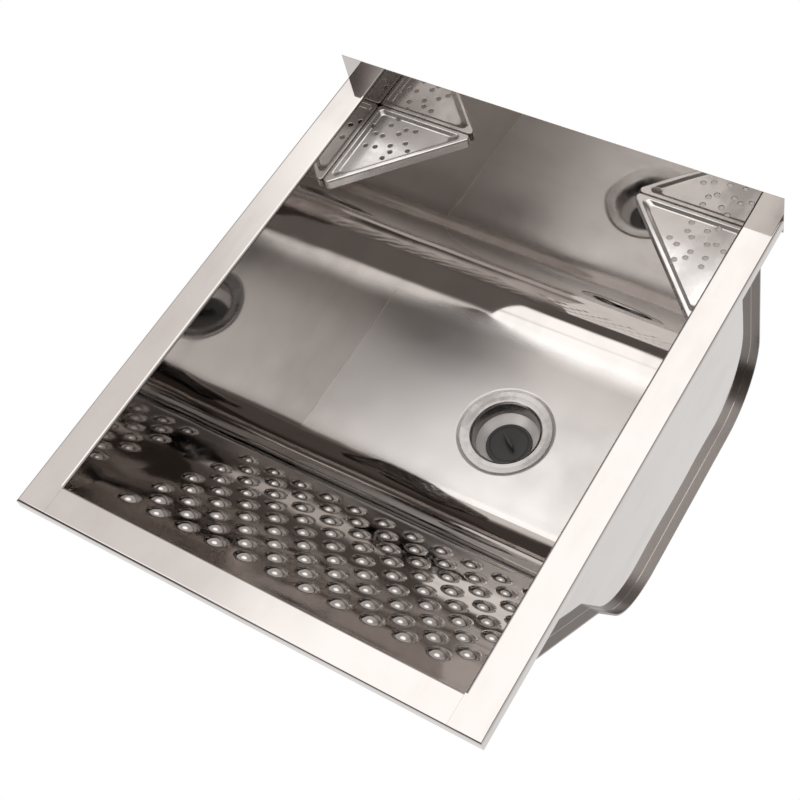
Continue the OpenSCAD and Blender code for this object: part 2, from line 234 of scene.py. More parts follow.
@dataclass
class SharedEffects:
    """The effects that more than one finish uses."""

    groups: dict[str, bpy.types.NodeTree] = field(default_factory=dict)

    def build(self) -> None:
        """Builds every shared effect once."""
        for effect in (self.sheet_waves, self.handling_marks, self.fine_lines):
            self.groups[effect.__name__] = effect()

    def sheet_waves(self) -> bpy.types.NodeTree:
        """Slow waves of a thin sheet that was bent and polished by hand.

        Returns:
            The group, with a height in metres as output.
        """
        group = EffectGroup("sheet_waves", {"Height": 0.0003, "Cells": 9.0}, ["Height"])
        broad = object_noise(group.tree, group.entry.outputs["Cells"], 1.0, 0.35)
        centred = group.math("SUBTRACT", broad, 0.5)
        height = group.math("MULTIPLY", centred, group.entry.outputs["Height"])
        group.link(height, group.exit.inputs["Height"])
        return group.tree

    def handling_marks(self) -> bpy.types.NodeTree:
        """Soft clouds and wiped streaks left by hands and a cloth.

        Returns:
            The group, with a mask from 0 to 1 as output.
        """
        group = EffectGroup("handling_marks", {"Cells": 14.0, "Amount": 1.0}, ["Mask"])
        clouds = object_noise(group.tree, group.entry.outputs["Cells"], 4.0, 0.6)
        wiped = object_noise(
            group.tree, 24.0, 3.0, 0.6, (1.0, 0.22, 1.0), (0.3, 0.1, 0.7), (0.0, 0.0, 0.5)
        )
        both = group.math("MULTIPLY", clouds, wiped)
        mask = range_node(group.tree, both, (0.18, 0.42), FULL)
        group.link(
            group.math("MULTIPLY", mask, group.entry.outputs["Amount"]),
            group.exit.inputs["Mask"],
        )
        return group.tree

    def fine_lines(self) -> bpy.types.NodeTree:
        """Fine polishing lines along X.

        Returns:
            The group, with a value from 0 to 1 as output.
        """
        group = EffectGroup("fine_lines", {"Cells": 900.0}, ["Line"])
        lines = object_noise(
            group.tree, group.entry.outputs["Cells"], 2.0, 0.55, (0.012, 1.0, 1.0)
        )
        group.link(lines, group.exit.inputs["Line"])
        return group.tree


# ---------- Finishes ----------


class Finish:
    """A material with its Principled shader and helpers to dress it."""

    def __init__(self, name: str, effects: SharedEffects) -> None:
        """Opens a material.

        Args:
            name: Name of the material.
            effects: The shared effects.
        """
        self.material = bpy.data.materials.new(name)
        self.material.use_nodes = True
        self.tree = self.material.node_tree
        self.shader = self.tree.nodes["Principled BSDF"]
        self.effects = effects

    def effect(self, name: str, **values: float) -> bpy.types.NodeSocket:
        """Places a shared effect with its own values and returns its first output."""
        node = add_node(self.tree, "ShaderNodeGroup")
        node.node_tree = self.effects.groups[name]
        for label, value in values.items():
            node.inputs[label].default_value = value
        return node.outputs[0]

    def mix_colours(
        self, mask: bpy.types.NodeSocket, low: Sequence[float], high: Sequence[float]
    ) -> bpy.types.NodeSocket:
        """Mixes two colours by a mask.

        Args:
            mask: Socket from 0 to 1.
            low: Colour where the mask is 0.
            high: Colour where the mask is 1.

        Returns:
            The colour socket.
        """
        node = add_node(self.tree, "ShaderNodeMix", data_type="RGBA")
        self.tree.links.new(mask, node.inputs["Factor"])
        node.inputs[6].default_value = (*low, 1.0)
        node.inputs[7].default_value = (*high, 1.0)
        return node.outputs[2]

    def bump(self, height: bpy.types.NodeSocket, strength: float = 1.0) -> None:
        """Feeds a height in metres to the shader's normal.

        Args:
            height: Socket with the height.
            strength: Strength of the bump.
        """
        node = add_node(self.tree, "ShaderNodeBump")
        node.inputs["Strength"].default_value = strength
        node.inputs["Distance"].default_value = 1.0
        self.tree.links.new(height, node.inputs["Height"])
        self.tree.links.new(node.outputs["Normal"], self.shader.inputs["Normal"])

    def feed(self, socket: bpy.types.NodeSocket, target: str) -> None:
        """Links a socket to an input of the shader."""
        self.tree.links.new(socket, self.shader.inputs[target])

    def worn_rough(self, marks: bpy.types.NodeSocket, rough: Flat) -> None:
        """Feeds a roughness that goes from clean to marked."""
        self.feed(range_node(self.tree, marks, FULL, rough, False), "Roughness")

    def axes(self) -> dict[str, bpy.types.NodeSocket]:
        """Returns the Object coordinates as X, Y and Z."""
        place = add_node(self.tree, "ShaderNodeTexCoord")
        split = add_node(self.tree, "ShaderNodeSeparateXYZ")
        self.tree.links.new(place.outputs["Object"], split.inputs[0])
        return {axis: split.outputs[axis] for axis in "XYZ"}


@dataclass(frozen=True)
class MirrorSteel:
    """Bright polished sheet, satin on the floor of the bowl, where the colour is also painted lighter
    and partly non-metal as a painted sheen, weaker in a strip at the back.
    """

    steel: Point = (0.565, 0.538, 0.521)
    smudged: Point = (0.525, 0.496, 0.480)
    polished: float = 0.035
    dulled: float = 0.085
    # The floor's colour, much lighter than the steel, and its lower metal are a painted sheen; the
    # roughness values are its satin finish.
    satin: Point = (0.820, 0.788, 0.770)
    floor_rough: float = 0.42
    floor_cloud: float = 0.10
    floor_metal: float = 0.75
    floor_top: float = -0.3069
    floor_blend: float = 0.0012
    # At the back the painted sheen reaches a little up the bend and is weaker, so the floor there is
    # darker.
    floor_back: Flat = (-0.170, -0.100)
    back_blend: float = 0.0075
    back_share: float = 0.65
    # The next four values make the flange outside the side walls darker and duller, low down.
    flange_dark: Point = (0.300, 0.275, 0.262)
    weld_rough: float = 0.30
    weld_x: Flat = (0.2284, 0.2292)
    weld_top: Flat = (-0.022, -0.018)
    wave: float = 0.0012
    cells: float = 8.0
    grain: float = 0.0000010

    def build(self, effects: SharedEffects) -> bpy.types.Material:
        """Builds the material.

        Args:
            effects: The shared effects.

        Returns:
            The material.
        """
        finish = Finish("mirror_steel_polished", effects)
        tree = finish.tree
        marks = finish.effect("handling_marks", Cells=11.0, Amount=1.0)
        axes = finish.axes()
        top = self.floor_top
        flat = range_node(tree, axes["Z"], (top, top + self.floor_blend), FADING)
        soft = range_node(tree, axes["Z"], (top, top + self.back_blend), FADING)
        behind = range_node(tree, axes["Y"], self.floor_back, FULL)
        zone = math_node(tree, "MAXIMUM", flat, math_node(tree, "MULTIPLY", soft, behind))
        share = range_node(tree, behind, FULL, (1.0, self.back_share), False)
        on_floor = math_node(tree, "MULTIPLY", zone, share)
        sheet = finish.mix_colours(marks, self.steel, self.smudged)
        # On the floor the colour is mixed towards the light floor colour and the metal is lowered: a
        # painted sheen, weaker at the back.
        painted_floor_sheen = finish.mix_colours(on_floor, self.steel, self.satin)
        tree.links.new(sheet, painted_floor_sheen.node.inputs[6])
        # Darker and duller on the flange outside the side walls, low down.
        across = math_node(tree, "ABSOLUTE", axes["X"])
        outside = range_node(tree, across, self.weld_x, FULL)
        below = range_node(tree, axes["Z"], self.weld_top, FADING)
        on_weld = math_node(tree, "MULTIPLY", outside, below)
        flange_darkened = finish.mix_colours(on_weld, self.steel, self.flange_dark)
        tree.links.new(painted_floor_sheen, flange_darkened.node.inputs[6])
        finish.feed(flange_darkened, "Base Color")
        loss = math_node(tree, "MULTIPLY", on_floor, 1.0 - self.floor_metal)
        finish.feed(math_node(tree, "SUBTRACT", 1.0, loss), "Metallic")
        bright = range_node(tree, marks, FULL, (self.polished, self.dulled), False)
        cloud = object_noise(tree, 16.0, 4.0, 0.6)
        satin = range_node(
            tree, cloud, (0.3, 0.7), (self.floor_rough, self.floor_rough + self.floor_cloud)
        )
        step = math_node(tree, "SUBTRACT", satin, bright)
        extra = math_node(tree, "MULTIPLY", step, on_floor)
        dull = math_node(tree, "MULTIPLY", on_weld, self.weld_rough)
        rough = math_node(tree, "ADD", bright, extra)
        finish.feed(math_node(tree, "MAXIMUM", rough, dull), "Roughness")
        waves = finish.effect("sheet_waves", Height=self.wave, Cells=self.cells)
        lines = finish.effect("fine_lines", Cells=700.0)
        grain = math_node(tree, "MULTIPLY", lines, self.grain)
        finish.bump(math_node(tree, "ADD", waves, grain))
        return finish.material


@dataclass(frozen=True)
class SatinSteel:
    """Brushed sheet of the pressed dishes."""

    steel: Point = (0.690, 0.665, 0.650)
    smudged: Point = (0.560, 0.535, 0.520)
    rough_low: float = 0.20
    rough_high: float = 0.36
    metal: float = 0.80
    wave: float = 0.0003
    grain: float = 0.000004

    def build(self, effects: SharedEffects) -> bpy.types.Material:
        """Builds the material.

        Args:
            effects: The shared effects.

        Returns:
            The material.
        """
        finish = Finish("satin_steel_brushed", effects)
        tree = finish.tree
        marks = finish.effect("handling_marks", Cells=22.0, Amount=1.0)
        finish.feed(finish.mix_colours(marks, self.steel, self.smudged), "Base Color")
        finish.worn_rough(marks, (self.rough_low, self.rough_high))
        finish.shader.inputs["Metallic"].default_value = self.metal
        lines = finish.effect("fine_lines", Cells=1500.0)
        waves = finish.effect("sheet_waves", Height=self.wave, Cells=30.0)
        grain = math_node(tree, "MULTIPLY", lines, self.grain)
        finish.bump(math_node(tree, "ADD", waves, grain))
        return finish.material


@dataclass(frozen=True)
class WasteChrome:
    """Turned and plated metal of the waste fitting."""

    plate: Point = (0.400, 0.382, 0.370)
    dulled: Point = (0.345, 0.327, 0.316)
    rough_low: float = 0.16
    rough_high: float = 0.30
    # The cone of the plug's seat is painted near white with less metal, a painted highlight, and is
    # rougher.
    seat: Point = (0.900, 0.872, 0.856)
    seat_rough: float = 0.38
    seat_loss: float = 0.45
    seat_foot: Flat = (-0.3386, -0.3380)
    seat_top: Flat = (-0.3292, -0.3276)
    speck: float = 0.000006

    def build(self, effects: SharedEffects) -> bpy.types.Material:
        """Builds the material, with the plug's seat in the cup painted near white and partly
        non-metal as a painted highlight, and rougher.

        Args:
            effects: The shared effects.

        Returns:
            The material.
        """
        finish = Finish("waste_chrome_turned", effects)
        tree = finish.tree
        axes = finish.axes()
        on_seat = math_node(
            tree,
            "MULTIPLY",
            range_node(tree, axes["Z"], self.seat_foot, FULL),
            range_node(tree, axes["Z"], self.seat_top, FADING),
        )
        marks = finish.effect("handling_marks", Cells=40.0, Amount=1.0)
        # Painted highlight: the seat's colour is near white.
        colour = finish.mix_colours(on_seat, self.plate, self.seat)
        tree.links.new(finish.mix_colours(marks, self.plate, self.dulled), colour.node.inputs[6])
        finish.feed(colour, "Base Color")
        bright = range_node(tree, marks, FULL, (self.rough_low, self.rough_high), False)
        satin = math_node(tree, "MULTIPLY", on_seat, self.seat_rough)
        finish.feed(math_node(tree, "MAXIMUM", bright, satin), "Roughness")
        loss = math_node(tree, "MULTIPLY", on_seat, self.seat_loss)
        finish.feed(math_node(tree, "SUBTRACT", 1.0, loss), "Metallic")
        speck = object_noise(tree, 900.0, 2.0, 0.6)
        finish.bump(math_node(tree, "MULTIPLY", speck, self.speck))
        return finish.material


@dataclass(frozen=True)
class Moulded:
    """Moulded rubber or plastic, worn and finely specked."""

    name: str
    clean: Point
    worn: Point
    cells: float
    rough: Flat
    speck: tuple[float, float, float]
    relief: float

    def build(self, effects: SharedEffects) -> bpy.types.Material:
        """Builds the material.

        Args:
            effects: The shared effects.

        Returns:
            The material.
        """
        finish = Finish(self.name, effects)
        marks = finish.effect("handling_marks", Cells=self.cells, Amount=0.8)
        finish.feed(finish.mix_colours(marks, self.clean, self.worn), "Base Color")
        finish.worn_rough(marks, self.rough)
        speck = object_noise(finish.tree, *self.speck)
        finish.bump(math_node(finish.tree, "MULTIPLY", speck, self.relief))
        return finish.material


BLACK_RUBBER = Moulded(
    "black_rubber_moulded",
    clean=(0.026, 0.024, 0.023),
    worn=(0.060, 0.056, 0.053),
    cells=45.0,
    rough=(0.38, 0.58),
    speck=(1400.0, 3.0, 0.6),
    relief=0.00002,
)
WHITE_PLASTIC = Moulded(
    "white_plastic_moulded",
    clean=(0.800, 0.795, 0.770),
    worn=(0.700, 0.690, 0.655),
    cells=38.0,
    rough=(0.30, 0.48),
    speck=(1100.0, 2.0, 0.5),
    relief=0.000012,
)


@dataclass
class Palette:
    """Every finish of the tub, by the slot of the record."""

    effects: SharedEffects = field(default_factory=SharedEffects)
    materials: dict[Slot, bpy.types.Material] = field(default_factory=dict)

    def build(self) -> None:
        """Builds the finishes."""
        self.effects.build()
        finishes = (MirrorSteel(), SatinSteel(), WasteChrome(), BLACK_RUBBER, WHITE_PLASTIC)
        for slot, finish in zip(Slot, finishes):
            self.materials[slot] = finish.build(self.effects)

    def dress(self, piece: bpy.types.Object, slot: Slot) -> None:
        """Gives a piece the finish of a slot.

        Args:
            piece: The piece.
            slot: The slot of the record.
        """
        piece.data.materials.clear()
        piece.data.materials.append(self.materials[slot])


# ---------- Bench: shaping one piece in edit mode ----------


class Bench:
    """One mesh on the bench, shaped with Blender's edit-mode operators."""

    def __init__(self, piece: bpy.types.Object) -> None:
        """Puts a piece on the bench, in edit mode.

        Args:
            piece: The piece.
        """
        self.piece = piece
        alone(piece)
        bpy.ops.object.mode_set(mode="EDIT")

    @classmethod
    def edge(cls, name: str, start: Point, end: Point) -> Bench:
        """Starts a piece from a plane that is drawn together into one edge.

        Args:
            name: Name of the piece.
            start: One end of the edge.
            end: The other end, which may be the same point.

        Returns:
            The bench.
        """
        bpy.ops.object.select_all(action="DESELECT")
        bpy.ops.mesh.primitive_plane_add(size=1.0)
        piece = bpy.context.object
        piece.name = name
        piece.data.name = name
        bench = cls(piece)
        mesh = bench.mesh()
        mesh.verts.ensure_lookup_table()
        for index, place in enumerate((start, start, end, end)):
            mesh.verts[(0, 1, 3, 2)[index]].co = place
        bmesh.update_edit_mesh(piece.data)
        bench.merge(TOUCH)
        return bench

    def mesh(self) -> bmesh.types.BMesh:
        """Returns the edit mesh."""
        return bmesh.from_edit_mesh(self.piece.data)

    def pick(self, kind: str, test: Callable[[object], bool]) -> int:
        """Selects vertices, edges or faces in code.

        Args:
            kind: "VERT", "EDGE" or "FACE".
            test: Says whether an element is picked.

        Returns:
            How many elements were picked.
        """
        bpy.ops.mesh.select_all(action="DESELECT")
        bpy.ops.mesh.select_mode(type=kind)
        mesh = self.mesh()
        group = {"VERT": mesh.verts, "EDGE": mesh.edges, "FACE": mesh.faces}[kind]
        count = 0
        for item in group:
            if test(item):
                item.select_set(True)
                count += 1
        mesh.select_flush_mode()
        bmesh.update_edit_mesh(self.piece.data)
        return count

    def extrude(self, move: Sequence[float]) -> None:
        """Extrudes what is selected by a move."""
        bpy.ops.mesh.extrude_region_move(TRANSFORM_OT_translate={"value": tuple(move)})

    def turn(self, centre: Sequence[float], axis: Sequence[float], angle: float, steps: int) -> None:
        """Spins what is selected about an axis.

        Args:
            centre: A point on the axis.
            axis: Direction of the axis.
            angle: Angle in radians, by the right-hand rule; the operator turns the other way.
            steps: Number of steps.
        """
        bpy.ops.mesh.spin(
            steps=steps, angle=-angle, center=tuple(centre), axis=tuple(axis), use_auto_merge=False
        )

    def loft(self, rings: Sequence[Sequence[Point]]) -> None:
        """Extrudes the selected ring through a row of rings.

        Args:
            rings: The rings, the selected one first, with as many points each.
        """
        for before, after in zip(rings, rings[1:]):
            bpy.ops.mesh.extrude_region_move()
            places = [Vector(point) for point in before]
            for vert in [vert for vert in self.mesh().verts if vert.select]:
                nearest = min(
                    range(len(places)), key=lambda index: (places[index] - vert.co).length_squared
                )
                vert.co = after[nearest]
            bmesh.update_edit_mesh(self.piece.data)

    def merge(self, gap: float = MM / 50) -> None:
        """Merges doubled vertices."""
        bpy.ops.mesh.select_all(action="SELECT")
        bpy.ops.mesh.remove_doubles(threshold=gap)

    def open_edges(self, test: Callable[[bmesh.types.BMEdge], bool]) -> int:
        """Selects the free edges that pass a test and returns their number."""
        return self.pick("EDGE", lambda edge: len(edge.link_faces) < 2 and test(edge))

    def fill_flat(self, test: Callable[[bmesh.types.BMEdge], bool]) -> None:
        """Fills the flat area between the free edges that pass a test.

        Args:
            test: Says whether an edge bounds the area.
        """
        self.open_edges(test)
        bpy.ops.mesh.fill(use_beauty=True)

    def bevel(self, width: float, segments: int) -> None:
        """Rounds the selected edges by a width in a number of segments."""
        bpy.ops.mesh.bevel(
            offset_type="OFFSET",
            offset=width,
            segments=segments,
            profile=0.5,
            affect="EDGES",
            clamp_overlap=True,
        )

    def face_towards(self, test: Callable[[bmesh.types.BMFace], bool], way: Sequence[float]) -> None:
        """Makes the normals consistent, with the tested face looking a given way.

        Args:
            test: Picks one face.
            way: Direction its normal must have.
        """
        bpy.ops.mesh.select_all(action="SELECT")
        bpy.ops.mesh.normals_make_consistent(inside=False)
        mesh = self.mesh()
        sample = max((face for face in mesh.faces if test(face)), key=lambda face: face.calc_area())
        sample.normal_update()
        if sample.normal.dot(Vector(way)) < 0:
            bpy.ops.mesh.flip_normals()

    def finish(self) -> bpy.types.Object:
        """Leaves edit mode and returns the piece."""
        bpy.ops.mesh.select_all(action="DESELECT")
        bpy.ops.object.mode_set(mode="OBJECT")
        return self.piece


def chain_of_points(name: str, points: Sequence[Point]) -> Bench:
    """Draws a chain of edges by extruding one vertex from point to point.

    Args:
        name: Name of the piece.
        points: The points.

    Returns:
        The bench with the whole chain selected.
    """
    bench = Bench.edge(name, points[0], points[0])
    bench.pick("VERT", lambda vert: True)
    place = Vector(points[0])
    for point in points[1:]:
        bench.extrude(Vector(point) - place)
        place = Vector(point)
    bpy.ops.mesh.select_all(action="SELECT")
    return bench


def turned_bench(name: str, section: Sequence[Flat], centre: Point, steps: int) -> Bench:
    """Turns a section about an upright axis.

    Args:
        name: Name of the piece.
        section: The section as [radius, height].
        centre: The point on the axis that the heights start from.
        steps: Number of steps round.

    Returns:
        The bench.
    """
    x, y, level = centre
    bench = chain_of_points(name, [(x + radius, y, level + up) for radius, up in section])
    bench.turn((x, y, 0), (0, 0, 1), math.tau, steps)
    bench.merge(DOUBLE)
    return bench


def lofted_bench(name: str, rings: Sequence[Sequence[Point]]) -> Bench:
    """Raises a closed ring through a row of rings and closes the last one.

    Args:
        name: Name of the piece.
        rings: The rings, with as many points each.

    Returns:
        The bench.
    """
    bench = chain_of_points(name, [*rings[0], rings[0][0]])
    bench.merge(DOUBLE)
    bench.loft(rings)
    bpy.ops.mesh.edge_face_add()
    bench.merge(DOUBLE)
    return bench


def all_at(edge: bmesh.types.BMEdge, axis: int, value: float, gap: float = TOUCH) -> bool:
    """Whether both ends of an edge have a coordinate at a value.

    Args:
        edge: The edge.
        axis: 0, 1 or 2 for X, Y or Z.
        value: The coordinate.
        gap: How far off it may be.

    Returns:
        True if both are.
    """
    return all(abs(vert.co[axis] - value) < gap for vert in edge.verts)


def alone(piece: bpy.types.Object) -> None:
    """Makes a piece the only selected and active object."""
    bpy.ops.object.select_all(action="DESELECT")
    piece.select_set(True)
    bpy.context.view_layer.objects.active = piece


def apply_modifier(piece: bpy.types.Object, kind: str, **settings: object) -> None:
    """Adds a modifier to a piece and applies it.

    Args:
        piece: The piece.
        kind: The modifier's type.
        **settings: The modifier's settings.
    """
    alone(piece)
    modifier = piece.modifiers.new(kind.lower(), kind)
    for key, value in settings.items():
        setattr(modifier, key, value)
    bpy.ops.object.modifier_apply(modifier=modifier.name)


def make_sheet(piece: bpy.types.Object, thickness: float, edge: float = 0.15 * MM) -> None:
    """Turns a skin into sheet metal, with its thickness behind the visible face.

    Args:
        piece: The skin.
        thickness: Thickness of the sheet.
        edge: Width of the bevel on the cut edges.
    """
    apply_modifier(
        piece, "SOLIDIFY", thickness=thickness, offset=-1.0, use_even_offset=True, use_rim=True
    )
    if edge > 0:
        apply_modifier(
            piece,
            "BEVEL",
            width=edge,
            segments=1,
            limit_method="ANGLE",
            angle_limit=math.radians(60),
            harden_normals=False,
        )


def smooth(piece: bpy.types.Object, angle: float = 32.0) -> None:
    """Shades a piece smooth below an angle, with large faces kept flat.

    Args:
        piece: The piece.
        angle: Angle in degrees above which an edge stays sharp.
    """
    alone(piece)
    bpy.ops.object.shade_smooth_by_angle(angle=math.radians(angle))
    apply_modifier(piece, "WEIGHTED_NORMAL", mode="FACE_AREA", weight=60, keep_sharp=True)


def join(target: bpy.types.Object, others: Iterable[bpy.types.Object]) -> None:
    """Joins objects into one.

    Args:
        target: The object that stays.
        others: The objects that are joined into it.
    """
    alone(target)
    for other in others:
        other.select_set(True)
    bpy.ops.object.join()


def copy_of(piece: bpy.types.Object, name: str) -> bpy.types.Object:
    """Copies an object with a mesh of its own.

    Args:
        piece: The object to copy.
        name: Name of the copy.

    Returns:
        The copy.
    """
    twin = bpy.data.objects.new(name, piece.data.copy())
    twin.data.name = name
    bpy.context.scene.collection.objects.link(twin)
    return twin


# ---------- Side view of the tub ----------

ARC_STEPS = {  # largest step of each bend, in degrees
    "back_foot": 3.0,
    "floor_rise": 1.5,
    "step_foot": 2.0,
    "crest": 3.0,
    "head": 9.0,
    "board_top": 12.0,
    "front_edge": 12.0,
}
FEWEST_STEPS = 4


def steps_for(turn: float, step: float) -> int:
    """Number of steps that an arc is made in."""
    return max(FEWEST_STEPS, math.ceil(abs(turn) / step))


@dataclass(frozen=True)
class Arc:
    """One rounded corner of the side view, as [y, z] values."""

    start: Vector
    end: Vector
    centre: Vector
    turn: float


def corner_arc(before: Flat, corner: Flat, after: Flat, radius: float) -> Arc:
    """Works out the arc that rounds a corner.

    Args:
        before: The corner before it.
        corner: The corner.
        after: The corner after it.
        radius: Radius of the arc.

    Returns:
        The arc, its turn in radians, positive anticlockwise in [y, z].
    """
    point = Vector(corner)
    arrive = (point - Vector(before)).normalized()
    leave = (Vector(after) - point).normalized()
    turn = math.atan2(arrive.x * leave.y - arrive.y * leave.x, arrive.dot(leave))
    reach = radius * math.tan(abs(turn) / 2)
    start = point - arrive * reach
    side = math.copysign(1.0, turn)
    centre = start + Vector((-arrive.y, arrive.x)) * side * radius
    return Arc(start, point + leave * reach, centre, turn)


def arc_points(arc: Arc, step: float) -> list[Flat]:
    """Points along an arc, both ends included.

    Args:
        arc: The arc.
        step: Largest step in radians.

    Returns:
        The points.
    """
    count = steps_for(arc.turn, step)
    arm = arc.start - arc.centre
    points = []
    for index in range(count + 1):
        spun = arm.copy()
        spun.rotate(Matrix.Rotation(arc.turn * index / count, 2))
        points.append(tuple(arc.centre + spun))
    return points


def rounded_section(corners: Sequence[tuple[float, float, float]], step: float) -> list[Flat]:
    """Rounds the corners of a closed section.

    Args:
        corners: Each corner as [radius, level, rounding].
        step: Largest step of the rounded corners in radians.

    Returns:
        The points of the section.
    """
    points: list[Flat] = []
    count = len(corners)
    for index, (radius, level, rounding) in enumerate(corners):
        if rounding == 0.0:
            points.append((radius, level))
            continue
        arc = corner_arc(
            corners[index - 1][:2], (radius, level), corners[(index + 1) % count][:2], rounding
        )
        points += arc_points(arc, step)
    return points


@dataclass(frozen=True)
class SideView:
    """Sizes that the sheets share, and the side view that they follow."""

    width: float = 0.525
    depth: float = 0.600
    upstand: float = 0.033
    upstand_tail: float = 0.020
    side_rim: float = 0.035
    front_rim: float = 0.033
    lip: float = 0.013
    bend: float = 0.003
    sheet: float = 0.001
    bowl_depth: float = 0.307
    back_radius: float = 0.084
    front_radius: float = 0.081
    crest_radius: float = 0.022
    step_angle: float = 66.0
    rise_angle: float = 15.0
    rise_run: float = 0.0465
    rise_radius: float = 0.120
    seam: float = 0.011
    board_angle: float = 45.8
    board_length: float = 0.265
    board_drop: float = 0.0084
    head_radius: float = 0.004
    drain_x: float = 0.003
    drain_y: float = 0.189

    @property
    def wall_x(self) -> float:
        """X of the visible face of a side wall."""
        return self.width / 2 - self.side_rim

    @property
    def seam_top(self) -> float:
        """Level at which the welded margin begins."""
        return -self.lip - self.sheet

    @property
    def slope(self) -> float:
        """Slope of the washboard in radians."""
        return math.radians(self.board_angle)

    def corners(self) -> dict[str, Flat]:
        """Corners of the side view, as [y, z] on the visible face.

        Returns:
            The corners by name.
        """
        top_y = self.front_rim - self.depth
        head = (top_y, -self.board_drop)
        crest = (
            head[0] + self.board_length * math.cos(self.slope),
            head[1] - self.board_length * math.sin(self.slope),
        )
        steep = math.tan(math.radians(self.step_angle))
        gentle = math.tan(math.radians(self.rise_angle))
        foot = crest[0] + (crest[1] + self.bowl_depth) / steep
        up = self.rise_run * gentle / (1 - gentle / steep)
        return {
            "back_top": (-self.sheet, self.upstand),
            "back_foot": (-self.sheet, -self.bowl_depth),
            "floor_rise": (foot + self.rise_run, -self.bowl_depth),
            "step_foot": (foot - up / steep, -self.bowl_depth + up),
            "crest": crest,
            "head": head,
            "board_top": (top_y, 0.0),
            "front_edge": (-self.depth, 0.0),
            "lip_foot": (-self.depth, -self.lip),
        }

    def arcs(self) -> dict[str, Arc]:
        """Arcs of the side view by the name of their corner."""
        corners = self.corners()
        names = list(corners)
        radii = {
            "back_foot": self.back_radius,
            "floor_rise": self.rise_radius,
            "step_foot": self.front_radius,
            "crest": self.crest_radius,
            "head": self.head_radius,
            "board_top": self.bend,
            "front_edge": self.bend,
        }
        found = {}
        for name, radius in radii.items():
            index = names.index(name)
            found[name] = corner_arc(
                corners[names[index - 1]], corners[name], corners[names[index + 1]], radius
            )
        return found

    def board_point(self, along: float, out: float = 0.0) -> Vector:
        """A point of the washboard's side view.

        Args:
            along: Distance down the slope from the head.
            out: Height above the board.

        Returns:
            The point as [y, z].
        """
        head = Vector(self.corners()["head"])
        down = Vector((math.cos(self.slope), -math.sin(self.slope)))
        up = Vector((math.sin(self.slope), math.cos(self.slope)))
        return head + down * along + up * out

    def margin_top(self) -> Vector:
        """Where the welded margin begins on the washboard, as [y, z]."""
        return self.board_point((-self.seam_top - self.board_drop) / math.sin(self.slope))


class SheetRun:
    """An edge that is drawn along a side view by extrude and spin."""

    def __init__(self, bench: Bench, place: Vector, arcs: dict[str, Arc]) -> None:
        """Takes the bench's selected edge, which stands at a place of the side view.

        Args:
            bench: The bench with the edge.
            place: Where the edge stands, as [y, z].
            arcs: The bends of the side view by name.
        """
        self.bench = bench
        self.place = Vector(place)
        self.arcs = arcs

    def straight(self, target: Sequence[float]) -> None:
        """Extrudes the edge to a place of the side view."""
        move = Vector(target) - self.place
        self.bench.extrude((0.0, move.x, move.y))
        self.place = Vector(target)

    def bend(self, *names: str) -> None:
        """Extrudes the edge to each named bend of the side view and spins it round."""
        for name in names:
            arc = self.arcs[name]
            steps = steps_for(arc.turn, math.radians(ARC_STEPS[name]))
            self.straight(arc.start)
            self.bench.turn(
                (0.0, arc.centre.x, arc.centre.y), (1.0, 0.0, 0.0), arc.turn, steps
            )
            self.place = Vector(arc.end)


# ---------- Wrap sheet ----------


